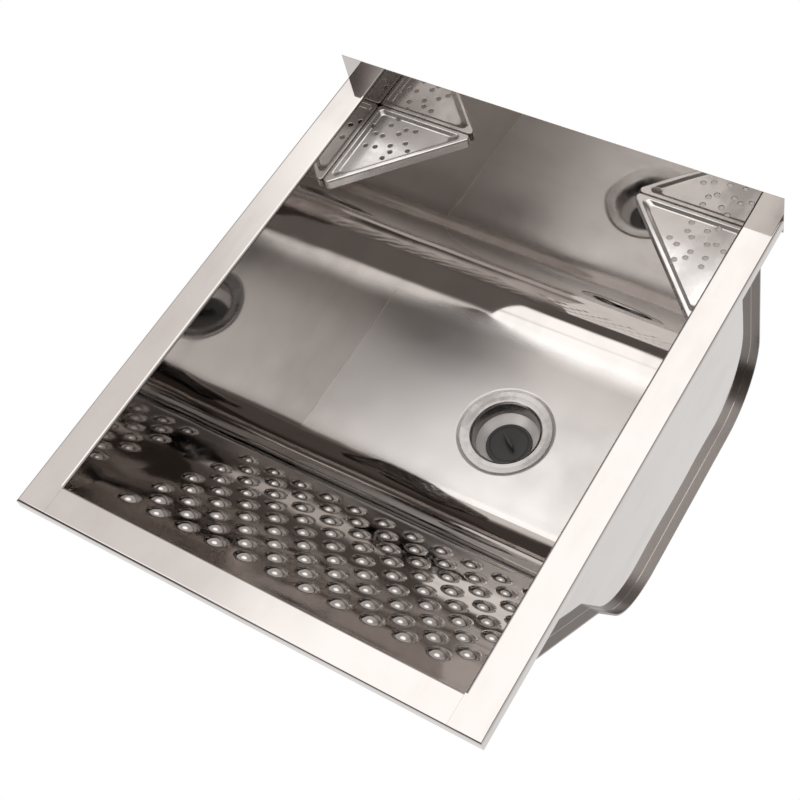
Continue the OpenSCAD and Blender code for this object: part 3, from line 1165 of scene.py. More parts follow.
@dataclass
class WrapSheet:
    """The sheet that is upstand, back wall, floor, step, washboard and front rim."""

    view: SideView
    palette: Palette
    dome_d: float = 0.0256
    dome_h: float = 0.0044
    dome_crown: float = 0.0135
    dome_pitch: float = 0.0359
    row_pitch: float = 0.0246
    first_row: float = 0.0441
    field_shift: float = 0.004
    columns: int = 11
    rows: int = 9
    dome_steps: int = 32
    seat_radius: float = 0.0569
    seat_depth: float = 0.002
    seat_bore: float = 0.0433
    seat_steps: int = 96
    flat_edge: float = 0.001

    def build(self) -> bpy.types.Object:
        """Builds the sheet and gives it its finish.

        Returns:
            The finished piece.
        """
        skin = self.bent_skin()
        domes = self.dome_field()
        seat = self.drain_seat()
        join(skin, [domes, seat])
        bench = Bench(skin)
        self.fill_board(bench)
        self.fill_floor(bench)
        self.widen(bench)
        bench.merge()
        bench.face_towards(
            lambda face: face.calc_center_median().z < -self.view.bowl_depth + NEAR, (0, 0, 1)
        )
        piece = bench.finish()
        make_sheet(piece, self.view.sheet)
        smooth(piece)
        self.palette.dress(piece, Slot.MIRROR)
        return piece

    def bent_skin(self) -> bpy.types.Object:
        """Draws the bends of the sheet between the side walls.

        Returns:
            The skin, with its washboard and floor still open.
        """
        view = self.view
        corners = view.corners()
        arcs = view.arcs()
        wall = view.wall_x
        top = corners["back_top"]
        bench = Bench.edge("wrap_sheet", (-wall, *top), (wall, *top))
        run = SheetRun(bench, Vector(top), arcs)
        run.straight((top[0], -view.upstand_tail))
        run.bend("back_foot")
        self.leave_open(bench, run, arcs["floor_rise"].start)
        run.bend("floor_rise", "step_foot", "crest")
        self.leave_open(bench, run, view.margin_top())
        run.bend("head", "board_top", "front_edge")
        run.straight(corners["lip_foot"])
        return bench.finish()

    def leave_open(self, bench: Bench, run: SheetRun, target: Sequence[float]) -> None:
        """Draws a flat stretch as a frame of edges without its face, with a flat strip at each end.

        Args:
            bench: The bench with the skin.
            run: The edge being drawn.
            target: Where the stretch ends, as [y, z].
        """
        way = (Vector(target) - run.place).normalized() * self.flat_edge
        run.straight(run.place + way)
        begin = run.place.copy()
        run.straight(Vector(target) - way)
        middle = (begin + run.place) / 2
        span = (run.place - begin).length
        here = Vector((0.0, middle.x, middle.y))
        bench.pick(
            "FACE",
            lambda face: (face.calc_center_median() - here).length < span / 100,
        )
        bpy.ops.mesh.delete(type="ONLY_FACE")
        end = run.place.copy()
        bench.pick(
            "EDGE",
            lambda edge: all(
                (Vector((vert.co.y, vert.co.z)) - end).length < TOUCH for vert in edge.verts
            ),
        )
        run.straight(target)

    def on_board(self, vert: bmesh.types.BMVert) -> bool:
        """Whether a vertex lies on the flat of the washboard."""
        head = self.view.board_point(0.0)
        up = self.view.board_point(0.0, 1.0) - head
        return abs((Vector((vert.co.y, vert.co.z)) - head).dot(up)) < MM / 50

    def dome_section(self) -> list[Flat]:
        """Section of one dome, a round crown on a broad soft foot, as [radius, height].

        Returns:
            The points from the foot up to the crown.
        """
        spread = self.dome_d / 2
        both = (spread**2 + self.dome_h**2) / (2 * self.dome_h)
        foot = both - self.dome_crown
        tilt = math.asin(spread / both)
        points = [(spread + self.flat_edge / 2, 0.0)]
        for step in range(6):
            angle = tilt * step / 5
            points.append((spread - foot * math.sin(angle), foot - foot * math.cos(angle)))
        for step in range(1, 6):
            angle = tilt * (1 - step / 5)
            drop = self.dome_crown * (1 - math.cos(angle))
            points.append((self.dome_crown * math.sin(angle), self.dome_h - drop))
        return points

    def dome_field(self) -> bpy.types.Object:
        """Presses one dome, copies it along a row and copies the rows.

        Returns:
            All the domes as one object, open at their feet.
        """
        view = self.view
        dome = turned_bench("domes", self.dome_section(), (0, 0, 0), self.dome_steps).finish()
        apply_modifier(
            dome,
            "ARRAY",
            count=self.columns,
            use_relative_offset=False,
            use_constant_offset=True,
            constant_offset_displace=(self.dome_pitch, 0, 0),
        )
        slope = Matrix.Rotation(-view.slope, 4, "X")
        rows = []
        for row in range(self.rows):
            shift = (-1 if row % 2 == 0 else 1) * self.dome_pitch / 4
            foot = view.board_point(self.first_row + row * self.row_pitch)
            first = self.field_shift + shift - (self.columns - 1) / 2 * self.dome_pitch
            line = copy_of(dome, f"dome_row_{row}")
            line.data.transform(Matrix.Translation((first, foot.x, foot.y)) @ slope)
            rows.append(line)
        bpy.data.objects.remove(dome)
        join(rows[0], rows[1:])
        return rows[0]

    def drain_seat(self) -> bpy.types.Object:
        """Spins the pressed seat of the waste.

        Returns:
            The seat, open at its outer and inner edge.
        """
        depth = self.seat_depth
        outer = self.seat_radius + depth
        section = [
            (outer + 1.0 * MM + self.flat_edge, 0.0),
            (outer + 1.0 * MM, 0.0),
            (outer + 0.35 * MM, -0.12 * MM),
            (outer - 0.25 * MM, -0.55 * MM),
            (self.seat_radius + 0.35 * MM, -depth + 0.45 * MM),
            (self.seat_radius - 0.25 * MM, -depth + 0.10 * MM),
            (self.seat_radius - 1.0 * MM, -depth),
            (self.seat_bore, -depth),
        ]
        centre = (self.view.drain_x, -self.view.drain_y, -self.view.bowl_depth)
        return turned_bench("drain_seat", section, centre, self.seat_steps).finish()

    def fill_board(self, bench: Bench) -> None:
        """Fills the flat of the washboard between its domes."""
        bench.merge()
        low = self.view.arcs()["crest"].end.y - MM
        high = self.view.seam_top + NEAR
        bench.fill_flat(
            lambda edge: all(self.on_board(vert) and low < vert.co.z < high for vert in edge.verts)
        )

    def fill_floor(self, bench: Bench) -> None:
        """Fills the floor round the pressed seat."""
        level = -self.view.bowl_depth
        bench.fill_flat(lambda edge: all_at(edge, 2, level))

    def widen(self, bench: Bench) -> None:
        """Draws the welded margins and the ends of the upstand outwards."""
        view = self.view
        top = view.seam_top + NEAR
        tail = -view.upstand_tail - NEAR
        for side in Side:
            at_wall = side.value * view.wall_x

            def margin(edge: bmesh.types.BMEdge) -> bool:
                """Whether an edge of the sheet's side carries the welded margin."""
                inside = all_at(edge, 0, at_wall, NEAR)
                low = all(vert.co.z < top for vert in edge.verts)
                behind = all(vert.co.y > -2 * view.sheet for vert in edge.verts)
                return inside and low and not (behind and any(v.co.z > tail + MM for v in edge.verts))

            def upstand(edge: bmesh.types.BMEdge) -> bool:
                """Whether an edge is the side of the upstand."""
                return all_at(edge, 0, at_wall, NEAR) and all(
                    vert.co.z > tail and vert.co.y > -2 * view.sheet for vert in edge.verts
                )

            bench.open_edges(margin)
            bench.extrude((side.value * view.seam, 0, 0))
            bench.open_edges(upstand)
            bench.extrude((side.value * view.seam, 0, 0))
            bench.extrude((side.value * (view.side_rim - view.seam), 0, 0))


# ---------- Side panels ----------


@dataclass
class SidePanels:
    """The two flat side walls, each with its rim, its lip and its welded flange."""

    view: SideView
    palette: Palette
    bend_inside: float = 0.0012

    def build(self) -> list[bpy.types.Object]:
        """Builds the right panel and mirrors it to the left.

        Returns:
            The right and the left panel.
        """
        right = self.panel_skin()
        left = copy_of(right, "left_side_sheet")
        left.data.transform(Matrix.Scale(-1.0, 4, Vector((1, 0, 0))))
        left.data.flip_normals()
        panels = [right, left]
        for piece in panels:
            make_sheet(piece, self.view.sheet)
            smooth(piece)
            self.palette.dress(piece, Slot.MIRROR)
        return panels

    def outline(self) -> list[Flat]:
        """Outline of the flat wall, as [y, z].

        Returns:
            The points from the back under the rim, round the bowl to the front.
        """
        view = self.view
        arcs = view.arcs()
        corners = view.corners()
        back = corners["back_top"][0]
        points = [(back, -view.bend), (back, view.seam_top)]
        for name in ("back_foot", "floor_rise", "step_foot", "crest"):
            points += arc_points(arcs[name], math.radians(ARC_STEPS[name]))
        points.append(tuple(view.margin_top()))
        points += arc_points(arcs["head"], math.radians(ARC_STEPS["head"]))
        points.append((corners["board_top"][0], -view.bend))
        return [points[0], *self.spread(points[1:])]

    def spread(self, points: list[Flat]) -> list[Flat]:
        """Drops points that lie on the one before."""
        kept = [points[0]]
        for point in points[1:]:
            if (Vector(point) - Vector(kept[-1])).length > MM / 20:
                kept.append(point)
        return kept

    def panel_skin(self) -> bpy.types.Object:
        """Draws the right panel's visible skin.

        Returns:
            The skin.
        """
        view = self.view
        wall = view.wall_x
        outline = self.outline()
        bench = chain_of_points("right_side_sheet", [(wall, *point) for point in outline])
        bpy.ops.mesh.edge_face_add()
        self.weld_flange(bench)
        self.rim(bench)
        bench.face_towards(
            lambda face: abs(face.calc_center_median().x - wall) < TOUCH, (-1, 0, 0)
        )
        return bench.finish()

    def weld_flange(self, bench: Bench) -> None:
        """Turns the welded flange out of the wall's edge, with its small bend."""
        view = self.view
        top = view.seam_top + TOUCH

        def below(edge: bmesh.types.BMEdge) -> bool:
            """Whether an edge of the wall lies below the flange's top."""
            return all(vert.co.z < top for vert in edge.verts)

        bench.open_edges(below)
        bench.extrude((view.seam, 0, 0))
        bench.pick(
            "EDGE",
            lambda edge: len(edge.link_faces) == 2
            and below(edge)
            and all_at(edge, 0, view.wall_x),
        )
        bench.bevel(self.bend_inside, 3)

    def rim(self, bench: Bench) -> None:
        """Bends the wall's top edge into the rim and its lip."""
        view = self.view
        wall = view.wall_x
        half = view.width / 2
        board_top = view.corners()["board_top"][0]
        bench.open_edges(lambda edge: all_at(edge, 2, -view.bend))
        bench.turn((wall + view.bend, 0, -view.bend), (0, 1, 0), math.pi / 2, 6)
        bench.extrude((half - wall - view.bend, 0, 0))
        bench.open_edges(lambda edge: all_at(edge, 2, 0.0) and all_at(edge, 1, board_top, NEAR))
        bench.extrude((0, -view.front_rim, 0))
        bench.open_edges(lambda edge: all_at(edge, 2, 0.0) and all_at(edge, 0, wall + view.bend))
        bench.extrude((-view.bend, 0, 0))
        bench.merge()

        def outer(edge: bmesh.types.BMEdge) -> bool:
            """Whether an edge is the rim's outer or front edge."""
            front = all_at(edge, 1, -view.depth)
            return all_at(edge, 2, 0.0) and (front or all_at(edge, 0, half))

        bench.open_edges(outer)
        bench.extrude((0, 0, -view.lip))
        bench.pick("EDGE", outer)
        bench.bevel(view.bend, 5)


# ---------- Soap dishes ----------


@dataclass
class SoapDishes:
    """The two perforated triangular dishes in the back corners."""

    view: SideView
    palette: Palette
    leg: float = 0.129
    right_leg_extra: float = 0.006
    drop: float = 0.0315
    rim: float = 0.005
    pan_depth: float = 0.0038
    slope: float = 0.0035
    skirt: float = 0.012
    corner: float = 0.005
    edge: float = 0.002
    rim_round: float = 0.0016
    pan_round: float = 0.0024
    hole_radius: float = 0.0028
    hole_flare: float = 0.0007
    hole_steps: int = 24
    centre_x: float = 0.037
    centre_y: float = 0.0365
    right_shift: float = 0.006
    right_turn: float = 22.0
    rings: tuple[tuple[float, int, float], ...] = (
        (0.0108, 3, 60.0),
        (0.0200, 6, 0.0),
        (0.0290, 6, 17.0),
    )

    def build(self) -> list[bpy.types.Object]:
        """Builds both dishes.

        Returns:
            The left and the right dish.
        """
        dishes = []
        for side in Side:
            piece = self.dish(side)
            make_sheet(piece, self.view.sheet, 0.0)
            self.punch(piece, side)
            smooth(piece, 40.0)
            self.palette.dress(piece, Slot.SATIN)
            dishes.append(piece)
        return dishes

    def place(self, side: Side, along: float, out: float, up: float = 0.0) -> Point:
        """Places a point of the dish's own corner in the tub.

        Args:
            side: The side of the tub.
            along: Distance from the side wall.
            out: Distance from the back wall.
            up: Height above the dish's rim.

        Returns:
            The point.
        """
        x = side.value * (self.view.wall_x - along)
        return (x, -self.view.sheet - out, -self.drop + up)

    def hole_centres(self, side: Side) -> list[Flat]:
        """Centres of the drain holes in the dish's own corner.

        Args:
            side: The side of the tub.

        Returns:
            The centres.
        """
        turned = side is Side.RIGHT
        middle = self.centre_x + (self.right_shift if turned else 0.0)
        turn = self.right_turn if turned else 0.0
        hand = -1 if turned else 1
        centres = []
        for radius, count, first in self.rings:
            for index in range(count):
                angle = math.radians(turn + hand * (first + index * 360.0 / count))
                centres.append(
                    (middle + radius * math.cos(angle), self.centre_y + radius * math.sin(angle))
                )
        return centres

    def plan(self, side: Side, inset: float, up: float) -> list[Point]:
        """Plan outline of the dish at one level.

        Args:
            side: The side of the tub.
            inset: Distance inside the dish's edge.
            up: Height above the dish's rim.

        Returns:
            The points, the same number for every inset.
        """
        radius = self.corner - inset if inset <= self.edge else self.corner - 2 * self.edge + inset
        radius = min(self.corner, radius)
        leg = self.leg + (self.right_leg_extra if side is Side.RIGHT else 0.0)
        reach = leg - inset * (1 + math.sqrt(2))
        corners = [(inset, inset), (reach, inset), (inset, reach)]
        points = []
        for index, corner in enumerate(corners):
            arc = corner_arc(corners[index - 1], corner, corners[(index + 1) % 3], radius)
            points += arc_points(arc, math.radians(11.25))
        return [self.place(side, along, out, up) for along, out in points]

    def section(self) -> list[Flat]:
        """Section of the dish from the skirt's foot to the pan, as [inset, height].

        Returns:
            The points.
        """
        pan = self.rim + self.slope
        corners = [
            (0.0, -self.skirt, 0.0),
            (0.0, 0.0, self.edge),
            (self.rim, 0.0, self.rim_round),
            (pan, -self.pan_depth, self.pan_round),
            (pan + self.pan_round, -self.pan_depth, 0.0),
        ]
        return rounded_section(corners, math.radians(12))

    def dish(self, side: Side) -> bpy.types.Object:
        """Presses one dish.

        Args:
            side: The side of the tub.

        Returns:
            The dish's visible skin.
        """
        rings = [self.plan(side, inset, up) for inset, up in self.section()]
        bench = lofted_bench(f"{side.name.lower()}_dish", rings)
        low = -self.drop - self.pan_depth
        bench.face_towards(
            lambda face: abs(face.calc_center_median().z - low) < NEAR
            and abs(face.normal.z) > 0.9,
            (0, 0, 1),
        )
        return bench.finish()

    def punch(self, piece: bpy.types.Object, side: Side) -> None:
        """Punches the drain holes, whose upper edges flare softly.

        Args:
            piece: The dish, as sheet.
            side: The side of the tub.
        """
        radius = self.hole_radius
        flare = self.hole_flare
        section = [
            (0.0, -3 * MM),
            (radius, -3 * MM),
            (radius, -0.45 * MM),
            (radius + 0.15 * flare, -0.25 * MM),
            (radius + 0.5 * flare, -0.08 * MM),
            (radius + flare, 0.02 * MM),
            (radius + flare, 1.5 * MM),
            (0.0, 1.5 * MM),
        ]
        bench = turned_bench("punch", section, (0, 0, 0), self.hole_steps)
        bpy.ops.mesh.normals_make_consistent(inside=False)
        punch = bench.finish()
        cutters = []
        for index, (along, out) in enumerate(self.hole_centres(side)):
            cutter = copy_of(punch, f"punch_{index}")
            cutter.data.transform(
                Matrix.Translation(self.place(side, along, out, -self.pan_depth))
            )
            cutters.append(cutter)
        join(cutters[0], cutters[1:])
        apply_modifier(piece, "BOOLEAN", operation="DIFFERENCE", solver="EXACT", object=cutters[0])
        bpy.data.objects.remove(cutters[0])
        bpy.data.objects.remove(punch)


# ---------- Waste fitting ----------


@dataclass
class WasteFitting:
    """The strainer body, its plug, seals, nuts and tailpiece, all turned about one axis."""

    view: SideView
    palette: Palette
    flange_radius: float = 0.056
    flange_t: float = 0.0015
    flange_level: float = -0.308
    cup_radius: float = 0.043
    cup_wall: float = 0.003
    cup_depth: float = 0.021
    cone_depth: float = 0.0085
    throat_radius: float = 0.0283
    bore_radius: float = 0.025
    outlet_radius: float = 0.0298
    outlet_length: float = 0.0425
    ring_bore: float = 0.0433
    clamp_radius: float = 0.054
    seal_t: float = 0.001
    gasket_t: float = 0.003
    washer_t: float = 0.0012
    locknut_h: float = 0.009
    lugs: int = 8
    plug_radius: float = 0.028
    plug_t: float = 0.009
    plug_taper: float = 0.0023
    grip_length: float = 0.028
    grip_width: float = 0.0055
    grip_height: float = 0.014
    grip_turn: float = 144.0
    grip_pinch: tuple[Flat, ...] = ((0.0, 1.0), (0.35, 0.96), (0.8, 0.9), (0.94, 0.82), (1.0, 0.6))
    tail_radius: float = 0.025
    tail_wall: float = 0.0018
    tail_length: float = 0.080
    tail_flange_t: float = 0.0025
    tail_neck: float = 0.001
    tail_seal_t: float = 0.0025
    nut_radius: float = 0.037
    nut_grip: float = 0.018
    nut_lip: float = 0.003
    ribs: int = 12
    clearance: float = 0.0003
    thread_depth: float = 0.0007
    thread_pitch: float = 0.0022
    steps: int = 96

    @property
    def throat(self) -> float:
        """Level of the throat that the plug sits in."""
        return self.flange_level - self.cup_depth - self.cone_depth

    @property
    def gasket_level(self) -> float:
        """Level of the underside of the floor gasket."""
        return self.flange_level - self.seal_t - self.view.sheet - self.gasket_t

    @property
    def washer_level(self) -> float:
        """Level of the underside of the slip washer."""
        return self.gasket_level - self.washer_t

    @property
    def outlet_level(self) -> float:
        """Level of the outlet's foot."""
        return self.throat - self.outlet_length

    @property
    def tail_level(self) -> float:
        """Level of the underside of the tailpiece's flange."""
        return self.outlet_level - self.tail_seal_t - self.tail_flange_t

    def build(self) -> list[tuple[bpy.types.Object, str, str, Slot]]:
        """Builds the whole fitting.

        Returns:
            Each piece with the node it stands for, its body and its slot.
        """
        ring = self.ring
        clamp = (self.ring_bore, self.clamp_radius)
        outlet = (self.bore_radius, self.outlet_radius - 0.5 * MM)
        seal = (self.flange_level - self.seal_t, self.seal_t)
        gasket = (self.gasket_level, self.gasket_t)
        washer = (self.washer_level, self.washer_t)
        tail = (self.outlet_level - self.tail_seal_t, self.tail_seal_t)
        made = [
            (self.strainer(), "strainer_body", "tub", Slot.CHROME),
            (self.plug(), "drain_plug", "plug", Slot.RUBBER),
            (ring("flange_gasket", *clamp, *seal), "flange_seal", "tub", Slot.RUBBER),
            (ring("under_gasket", *clamp, *gasket), "floor_gasket", "tub", Slot.RUBBER),
            (ring("friction_washer", *clamp, *washer), "slip_washer", "tub", Slot.PLASTIC),
            (self.lugged_nut(), "locknut", "tub", Slot.CHROME),
            (ring("outlet_seal", *outlet, *tail), "tail_seal", "tub", Slot.RUBBER),
            (self.tail_pipe(), "tailpiece", "tub", Slot.CHROME),
            (self.ribbed_nut(), "coupling_nut", "tub", Slot.PLASTIC),
        ]
        for piece, _, _, slot in made:
            smooth(piece, 35.0)
            self.palette.dress(piece, slot)
        return made

    def turned(
        self, name: str, corners: Sequence[tuple[float, float, float]], step: float = 10.0
    ) -> bpy.types.Object:
        """Turns a closed section with rounded corners about the outlet's axis.

        Args:
            name: Name of the piece.
            corners: Each corner of the section as [radius, level, rounding].
            step: Largest step of the rounded corners in degrees.

        Returns:
            The piece.
        """
        section = rounded_section(corners, math.radians(step))
        centre = (self.view.drain_x, -self.view.drain_y, 0.0)
        bench = turned_bench(name, [*section, section[0]], centre, self.steps)
        bpy.ops.mesh.normals_make_consistent(inside=False)
        return bench.finish()

    def ring(
        self, name: str, inner: float, outer: float, level: float, height: float
    ) -> bpy.types.Object:
        """Turns a flat ring with softened edges.

        Args:
            name: Name of the piece.
            inner: Inner radius.
            outer: Outer radius.
            level: Level of its underside.
            height: Its height.

        Returns:
            The piece.
        """
        soft = min(0.25 * height, 0.5 * MM)
        top = level + height
        plan = ((inner, level), (outer, level), (outer, top), (inner, top))
        return self.turned(name, [(*corner, soft) for corner in plan], 25)

    def strainer(self) -> bpy.types.Object:
        """Turns the flange, the cup, the cone and the threaded outlet.

        Returns:
            The piece.
        """
        level = self.flange_level
        top = level + self.flange_t
        bore = self.cup_radius - self.cup_wall
        cup_foot = level - self.cup_depth
        foot = self.outlet_level
        seat_foot = self.throat - self.plug_t
        corners = [
            (self.flange_radius, level, 0.0),
            (self.flange_radius, top, 0.8 * MM),
            (bore + 9 * MM, top - 0.6 * MM, 3 * MM),
            (bore, top - 1 * MM, 4.5 * MM),
            (bore - 1 * MM, cup_foot, 3 * MM),
            (self.throat_radius, self.throat, 0.6 * MM),
            (self.throat_radius - self.plug_taper, seat_foot, 0.0),
            (self.bore_radius, seat_foot - 1 * MM, 0.0),
            (self.bore_radius, foot, 0.4 * MM),
            (self.outlet_radius, foot, 0.0),
            *self.thread(self.outlet_radius, foot, self.throat - 6 * MM),
            (self.outlet_radius, self.throat, 4 * MM),
            (self.cup_radius, cup_foot - 4 * MM, 4 * MM),
            *self.thread(self.cup_radius, cup_foot + 2 * MM, level - 2 * MM),
            (self.cup_radius, level, 0.0),
        ]
        return self.turned("strainer", corners)

    def thread(self, radius: float, low: float, high: float) -> list[tuple[float, float, float]]:
        """Cuts the rings of a thread into a length of the section.

        Args:
            radius: Outer radius of the thread.
            low: Level of its foot.
            high: Level of its top.

        Returns:
            The points from the foot up.
        """
        points = []
        for turn in range(int((high - low) / self.thread_pitch)):
            base = low + (turn + 0.25) * self.thread_pitch
            points.append((radius, base, 0.0))
            points.append((radius - self.thread_depth, base + self.thread_pitch * 0.35, 0.0))
            points.append((radius, base + self.thread_pitch * 0.7, 0.0))
        return points

    def plug(self) -> bpy.types.Object:
        """Turns the plug's disc and sets the grip on it.

        Returns:
            The piece.
        """
        top = self.throat + 1 * MM
        foot = self.throat - self.plug_t + 1 * MM
        rim = self.plug_radius
        corners = [
            (0.0, foot, 0.0),
            (rim - self.plug_taper, foot, 0.8 * MM),
            (rim, self.throat, 0.0),
            (rim - 0.2 * MM, top, 0.5 * MM),
            (rim - 3.5 * MM, top, 0.0),
            (rim - 4.1 * MM, top - 0.5 * MM, 0.0),
            (rim - 5.0 * MM, top - 0.5 * MM, 0.0),
            (rim - 5.6 * MM, top, 0.0),
            (0.0, top, 0.0),
        ]
        disc = self.turned("rubber_plug", corners, 20)
        join(disc, [self.grip(top)])
        return disc

    def grip(self, level: float) -> bpy.types.Object:
        """Raises the lens-shaped grip with its arched top.

        Args:
            level: Level of the plug's top face.

        Returns:
            The grip.
        """
        half_l = self.grip_length / 2
        half_w = self.grip_width / 2
        bow = (half_l**2 + half_w**2) / (2 * half_w)
        half_angle = math.asin(half_l / bow)
        outline = []
        for sign in (1, -1):
            for step in range(16):
                angle = half_angle * (1 - step / 8)
                out = bow * math.cos(angle) - bow + half_w
                outline.append((sign * bow * math.sin(angle), sign * out))
        arch = self.grip_length
        turn = Matrix.Rotation(math.radians(self.grip_turn), 3, "Z")
        rings = []
        for share, pinch in self.grip_pinch:
            ring = []
            for x, y in outline:
                crown = self.grip_height - arch + math.sqrt(arch**2 - x**2)
                flat = turn @ Vector((x * (1 - (1 - pinch) / 6), y * pinch, share * crown - 0.3 * MM))
                ring.append(
                    (flat.x + self.view.drain_x, flat.y - self.view.drain_y, level + flat.z)
                )
            rings.append(ring)
        bench = lofted_bench("grip", rings)
        bpy.ops.mesh.normals_make_consistent(inside=False)
        return bench.finish()

    def lugged_nut(self) -> bpy.types.Object:
        """Turns the locknut and sets its lugs round it.

        Returns:
            The piece.
        """
        level = self.washer_level - self.locknut_h
        top = self.washer_level
        body = self.clamp_radius - 5 * MM
        corners = [
            (self.ring_bore, level, 0.6 * MM),
            (body, level, 0.8 * MM),
            (body, top - 3 * MM, 0.6 * MM),
            (self.clamp_radius, top - 3 * MM, 0.5 * MM),
            (self.clamp_radius, top, 0.5 * MM),
            (self.ring_bore, top, 0.4 * MM),
        ]
        nut = self.turned("lugged_nut", corners, 25)
        lug = self.block("lug", body - 2 * MM, self.clamp_radius - 0.5 * MM, 9 * MM, level, top - MM)
        self.set_round(nut, lug, self.lugs)
        return nut

    def ribbed_nut(self) -> bpy.types.Object:
        """Turns the coupling nut and sets its grip ribs round it.

        Returns:
            The piece.
        """
        level = self.tail_level - self.nut_lip
        top = self.outlet_level + self.nut_grip
        body = self.nut_radius - 2 * MM
        upper = self.outlet_radius + self.clearance
        lower = self.tail_radius + self.tail_neck + self.clearance
        corners = [
            (lower, level, 0.4 * MM),
            (body, level, 1.2 * MM),
            (body, top, 0.8 * MM),
            (upper, top, 0.6 * MM),
            (upper, level + self.nut_lip, 0.0),
            (lower, level + self.nut_lip, 0.0),
        ]
        nut = self.turned("ribbed_nut", corners, 20)
        rib = self.block("rib", body - MM, self.nut_radius, 5 * MM, level + 0.6 * MM, top - 2 * MM)
        self.set_round(nut, rib, self.ribs)
        return nut

    def block(
        self, name: str, inner: float, outer: float, width: float, low: float, high: float
    ) -> bpy.types.Object:
        """Makes one softened block that stands out from a nut.

        Args:
            name: Name of the block.
            inner: Radius where it begins inside the nut.
            outer: Radius of its outer face.
            width: Width across.
            low: Level of its underside.
            high: Level of its top.

        Returns:
            The block.
        """
        bpy.ops.object.select_all(action="DESELECT")
        across = self.view.drain_x + (inner + outer) / 2
        middle = (across, -self.view.drain_y, (low + high) / 2)
        bpy.ops.mesh.primitive_cube_add(
            size=1.0, location=middle, scale=(outer - inner, width, high - low)
        )
        block = bpy.context.object
        block.name = name
        bpy.ops.object.transform_apply(location=True, rotation=True, scale=True)
        apply_modifier(block, "BEVEL", width=0.8 * MM, segments=3, limit_method="ANGLE")
        return block

    def set_round(self, nut: bpy.types.Object, block: bpy.types.Object, count: int) -> None:
        """Copies a block round the outlet's axis and joins the copies to a nut.

        Args:
            nut: The nut.
            block: The block.
            count: Number of copies.
        """
        axis = Matrix.Translation((self.view.drain_x, -self.view.drain_y, 0))
        blocks = []
        for index in range(count):
            twin = copy_of(block, f"{block.name}_{index}")
            spin = Matrix.Rotation(math.tau * index / count, 4, "Z")
            twin.data.transform(axis @ spin @ axis.inverted())
            blocks.append(twin)
        bpy.data.objects.remove(block)
        join(nut, blocks)

    def tail_pipe(self) -> bpy.types.Object:
        """Turns the tailpiece with its flange and neck.

        Returns:
            The piece.
        """
        bore = self.tail_radius - self.tail_wall
        flange = self.outlet_radius - 0.5 * MM
        neck = self.tail_radius + self.tail_neck
        top = self.tail_level + self.tail_flange_t
        foot = self.tail_level - self.tail_length
        corners = [
            (bore, foot, 0.5 * MM),
            (self.tail_radius, foot, 0.7 * MM),
            (self.tail_radius, self.tail_level - 4 * MM, 0.0),
            (neck, self.tail_level - 4 * MM, 0.4 * MM),
            (neck, self.tail_level, 0.3 * MM),
            (flange, self.tail_level, 0.5 * MM),
            (flange, top, 0.5 * MM),
            (bore, top, 0.6 * MM),
        ]
        return self.turned("tail_pipe", corners, 22.5)


# ---------- Studio ----------


@dataclass(frozen=True)
class LightPatch:
    """One soft round area of the studio's light, as the object sees it."""

    colour: Point
    azimuth: float
    height: float
    fade: Flat

    def way(self) -> Point:
        """Direction of its middle; the azimuth runs from +Y towards +X, in degrees."""
        around, up = math.radians(self.azimuth), math.radians(self.height)
        return (math.cos(up) * math.sin(around), math.cos(up) * math.cos(around), math.sin(up))

    def reach(self) -> Flat:
        """Cosines of the angles from its middle at which it ends and is full."""
        return math.cos(math.radians(self.fade[0])), math.cos(math.radians(self.fade[1]))


